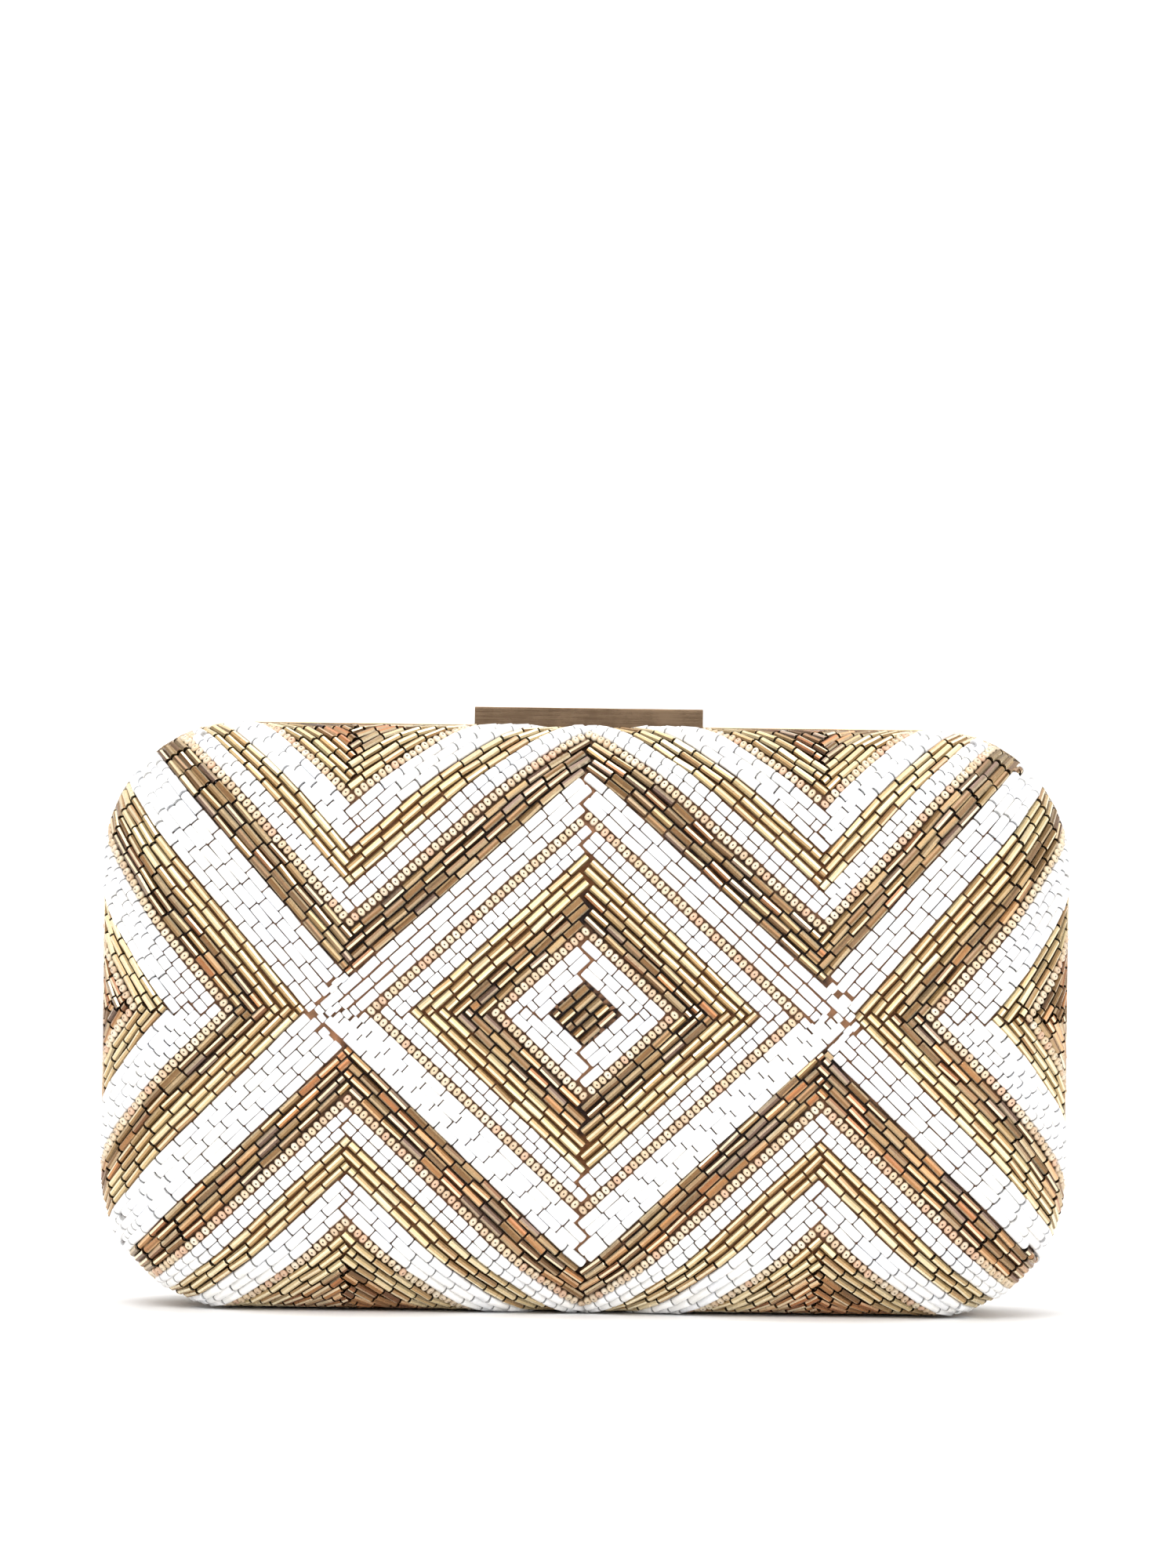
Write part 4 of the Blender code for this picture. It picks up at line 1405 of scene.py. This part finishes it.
def pocket_mesh(name, low, high):
    """The pocket: a cloth panel with a turned hem along its mouth, standing off a little there."""
    across, up = 44, 24
    corner = 8 * MM
    rings = []
    for layer in (0, 1):
        grid = np.zeros((up + 1, across + 1, 3))
        for j in range(up + 1):
            t = j / up
            z = low.z + (high.z - low.z) * t
            pull = max(0.0, corner - (z - low.z))
            cut = corner - math.sqrt(max(corner**2 - pull**2, 0.0))
            for i in range(across + 1):
                s = 2 * i / across - 1
                half = (high.x - low.x) / 2 - cut
                gape = 1.1 * MM * t**4 * (1 - s * s) ** 1.5
                hem = 0.35 * MM if t > 0.9 and layer == 0 else 0.0
                edge = min(1.0, (1 - abs(s)) * 30, t * 20 + 0.15)
                face = low.y - gape - hem if layer == 0 else low.y - gape + 0.4 * MM
                y = face if layer else face + 0.25 * MM * (1 - edge)
                ripple = 0.12 * MM * math.sin(s * 19) * t * (1 - abs(s))
                grid[j, i] = ((high.x + low.x) / 2 + s * half, y + ripple, z)
        rings.append(grid)
    points = np.concatenate([g.reshape(-1, 3) for g in rings])
    offset, row = (up + 1) * (across + 1), across + 1
    faces = []
    for layer in (0, 1):
        for j in range(up):
            for i in range(across):
                a = layer * offset + j * row + i
                quad = (a, a + 1, a + row + 1, a + row)
                faces.append(quad if layer == 0 else quad[::-1])
    border = [i for i in range(across)]
    border += [j * row + across for j in range(up)]
    border += [up * row + i for i in range(across, 0, -1)]
    border += [j * row for j in range(up, 0, -1)]
    for a, b in zip(border, border[1:] + border[:1]):
        faces.append((b, a, offset + a, offset + b))
    mesh = bpy.data.meshes.new(name)
    mesh.from_pydata([tuple(p) for p in points], [], faces)
    mesh.polygons.foreach_set("use_smooth", [True] * len(mesh.polygons))
    mesh.update()
    return mesh


def stitch_mesh(name, low, high, length):
    """A line of small stitches round the pocket's sides and foot."""
    margin, corner = 2.2 * MM, 8 * MM
    left, right, foot = low.x + margin, high.x - margin, low.z + margin
    inner = corner - margin * 0.5
    path = [Vector((left, 0, high.z - margin)), Vector((left, 0, foot + inner))]
    for i in range(1, 9):
        angle = math.pi / 2 * i / 8
        path.append(Vector((left + inner * (1 - math.cos(angle)), 0, foot + inner * (1 - math.sin(angle)))))
    path.append(Vector((right - inner, 0, foot)))
    for i in range(1, 9):
        angle = math.pi / 2 * i / 8
        path.append(Vector((right - inner * (1 - math.sin(angle)), 0, foot + inner * (1 - math.cos(angle)))))
    path.append(Vector((right, 0, high.z - margin)))
    lengths = np.concatenate([[0], np.cumsum([(b - a).length for a, b in zip(path, path[1:])])])
    spots = np.arange(0.5 * length, lengths[-1], length * 1.35)
    points, faces = [], []
    thick, sides = 0.16 * MM, 6
    for spot in spots:
        ends = []
        for along in (spot - length / 2, spot + length / 2):
            ends.append(Vector([np.interp(along, lengths, [p[k] for p in path]) for k in range(3)]))
        along = (ends[1] - ends[0]).normalized()
        out = Vector((0, -1, 0))
        beside = along.cross(out)
        base = len(points)
        for share, size in ((0.0, 0.35), (0.18, 1.0), (0.5, 1.15), (0.82, 1.0), (1.0, 0.35)):
            middle = ends[0].lerp(ends[1], share)
            middle.y = low.y - 0.02 * MM
            for k in range(sides):
                angle = 2 * math.pi * k / sides
                points.append(middle + (out * math.cos(angle) + beside * math.sin(angle)) * thick * size)
        for ring in range(4):
            for k in range(sides):
                a, b = base + ring * sides + k, base + ring * sides + (k + 1) % sides
                faces.append((a, a + sides, b + sides, b))
        faces.append(tuple(base + k for k in range(sides)))
        faces.append(tuple(base + 4 * sides + k for k in reversed(range(sides))))
    mesh = bpy.data.meshes.new(name)
    mesh.from_pydata(points, [], faces)
    mesh.polygons.foreach_set("use_smooth", [True] * len(mesh.polygons))
    mesh.update()
    return mesh


def soften_edges(node, width):
    """Breaks the sharp edges of a solid, as filing does."""
    weld = node.modifiers.new("weld", "WELD")
    weld.merge_threshold = 0.00001
    bevel = node.modifiers.new("soft_edges", "BEVEL")
    bevel.width = width
    bevel.segments = 2
    bevel.limit_method = "ANGLE"
    bevel.angle_limit = math.radians(40)


class BAG_OT_metalwork(bpy.types.Operator):
    """Finish the rails, hinges, clasp and shells that come with the frame"""

    bl_idname = "evening_bag.metalwork"
    bl_label = "Metalwork"

    def execute(self, context):
        settings = context.scene.bag_metal
        gold = metal_finish("pale_gold_plate", settings.plating, settings.rubbed, 0.16, 0.3)
        bar = metal_finish("brushed_bar", settings.bar, settings.bar_rubbed, 0.2, 0.34, (1, 30, 30))
        steel = metal_finish("drawn_steel", rgb(196, 196, 198), rgb(150, 150, 154), 0.2, 0.34)
        board = board_finish("moulded_board", rgb(92, 84, 76), rgb(64, 58, 52))
        for name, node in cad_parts.items():
            if node.hide_render:
                continue
            if name == "clasp_bar":
                finish = bar
            elif name.endswith("_shell"):
                finish = board
            elif "pin" in name or "spring" in name:
                finish = steel
            else:
                finish = gold
            for place in node.material_slots:
                place.material = finish
        soften_edges(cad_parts["clasp_bar"], 0.35 * MM)
        return {"FINISHED"}


class BAG_OT_stage(bpy.types.Operator):
    """Set up the floor, the lights and the camera"""

    bl_idname = "evening_bag.stage"
    bl_label = "Stage"

    def execute(self, context):
        scene = context.scene
        settings = scene.bag_stage
        add_floor()
        add_world(scene)
        middle = Vector((0, 0, MIDDLE_Z))
        add_light("key", (-0.55, -1.15, 1.25), middle, 1.1, 0.9, 17)
        add_light("fill", (0.95, -1.3, 0.75), middle, 0.9, 0.9, 9)
        add_light("top", (0.0, 0.15, 1.5), middle, 1.4, 0.7, 10)
        add_light("back_glow", (0.0, 1.0, 1.6), Vector((0, 2.2, 0.3)), 2.4, 1.2, 26)
        add_camera(scene, settings)
        scene.view_settings.view_transform = "Standard"
        return {"FINISHED"}


def add_floor():
    """A pale round floor that sweeps up into a backdrop on every side."""
    profile = [(0.4, 0.0), (0.9, 0.0), (1.6, 0.0)]
    for i in range(1, 17):
        angle = math.pi / 2 * i / 16
        profile.append((1.6 + math.sin(angle), 1 - math.cos(angle)))
    profile.append((2.6, 1.3))
    around = 72
    points = [(0.0, 0.0, 0.0)]
    for reach, height in profile:
        for i in range(around):
            angle = 2 * math.pi * i / around
            points.append((reach * math.sin(angle), reach * math.cos(angle), height))
    faces = [(0, 1 + (i + 1) % around, 1 + i) for i in range(around)]
    for ring in range(len(profile) - 1):
        for i in range(around):
            a, b = 1 + ring * around + i, 1 + ring * around + (i + 1) % around
            faces.append((a, b, b + around, a + around))
    mesh = bpy.data.meshes.new("studio_floor")
    mesh.from_pydata(points, [], faces)
    mesh.polygons.foreach_set("use_smooth", [True] * len(mesh.polygons))
    material, tree, shader = new_finish("studio_paper")
    place = place_of(tree)
    tone = ramp(tree, noise(tree, place, 3, 2), ((0.3, (0.90, 0.90, 0.90)), (0.7, (0.93, 0.93, 0.93))))
    tree.links.new(tone, shader.inputs["Base Color"])
    set_shader(shader, Roughness=0.8, Specular_IOR_Level=0.2)
    relief(tree, shader, noise(tree, place, 700, 2), 0.0001, 0.2)
    mesh.materials.append(material)
    floor = bpy.data.objects.new("studio_floor", mesh)
    bpy.context.scene.collection.objects.link(floor)


def add_world(scene):
    """Soft light from all round, brighter overhead than at eye level."""
    world = bpy.data.worlds.new("studio")
    world.use_nodes = True
    tree = world.node_tree
    back = tree.nodes["Background"]
    where = make_node(tree, "ShaderNodeTexCoord")
    apart = make_node(tree, "ShaderNodeSeparateXYZ", {"Vector": where.outputs["Generated"]})
    tone = ramp(
        tree,
        span(tree, apart.outputs["Z"], 0, 1, -0.3, 0.9),
        ((0.0, (0.42, 0.42, 0.42)), (0.4, (0.55, 0.55, 0.56)), (1.0, (1.0, 1.0, 1.0))),
    )
    tree.links.new(tone, back.inputs["Color"])
    back.inputs["Strength"].default_value = 0.75
    scene.world = world


def add_light(name, place, target, width, height, power):
    """A soft box that looks at its target."""
    data = bpy.data.lights.new(name, "AREA")
    data.shape = "RECTANGLE"
    data.size, data.size_y = width, height
    data.energy = power
    light = bpy.data.objects.new(name, data)
    light.location = place
    light.rotation_mode = "QUATERNION"
    light.rotation_quaternion = (Vector(target) - Vector(place)).to_track_quat("-Z", "Y")
    bpy.context.scene.collection.objects.link(light)


def add_camera(scene, settings):
    """A long lens a little above the bag, with the bag low in the picture."""
    data = bpy.data.cameras.new("camera")
    data.lens = settings.lens
    data.sensor_width = 36.0
    data.clip_start, data.clip_end = 0.05, 50
    distance = settings.view_height * data.lens / data.sensor_width
    camera = bpy.data.objects.new("camera", data)
    middle = Vector((0, 0, MIDDLE_Z))
    place = middle + distance * Vector((0, -math.cos(settings.elevation), math.sin(settings.elevation)))
    aim = middle + Vector((0, 0, settings.drop))
    camera.location = place
    camera.rotation_mode = "QUATERNION"
    turn = (aim - place).to_track_quat("-Z", "Y")
    camera.rotation_quaternion = turn @ Matrix.Rotation(settings.roll, 3, "Z").to_quaternion()
    scene.collection.objects.link(camera)
    scene.camera = camera


# ---------------------------------------------------------------- panel


STEPS = (
    BAG_OT_base_cloth,
    BAG_OT_beads,
    BAG_OT_foam,
    BAG_OT_lining,
    BAG_OT_pocket,
    BAG_OT_metalwork,
    BAG_OT_stage,
)


class BAG_PT_maker(bpy.types.Panel):
    """The steps that finish the bag, in order"""

    bl_idname = "BAG_PT_maker"
    bl_label = "Evening bag"
    bl_space_type = "VIEW_3D"
    bl_region_type = "UI"
    bl_category = "Evening bag"

    def draw(self, context):
        for step in STEPS:
            self.layout.operator(step.bl_idname)
        for group in GROUPS:
            settings = getattr(context.scene, group)
            box = self.layout.box()
            for key in settings.bl_rna.properties.keys():
                if key not in ("rna_type", "name"):
                    box.prop(settings, key)


GROUPS = {
    "bag_beads": BeadSettings,
    "bag_lining": LiningSettings,
    "bag_metal": MetalSettings,
    "bag_stage": StageSettings,
}


def register():
    for item in (*GROUPS.values(), *STEPS, BAG_PT_maker):
        bpy.utils.register_class(item)
    for name, group in GROUPS.items():
        setattr(bpy.types.Scene, name, PointerProperty(type=group))


def unregister():
    for name in GROUPS:
        delattr(bpy.types.Scene, name)
    for item in reversed((*GROUPS.values(), *STEPS, BAG_PT_maker)):
        bpy.utils.unregister_class(item)


def main():
    register()
    for step in STEPS:
        group, name = step.bl_idname.split(".")
        getattr(getattr(bpy.ops, group), name)()


if __name__ == "__main__":
    main()
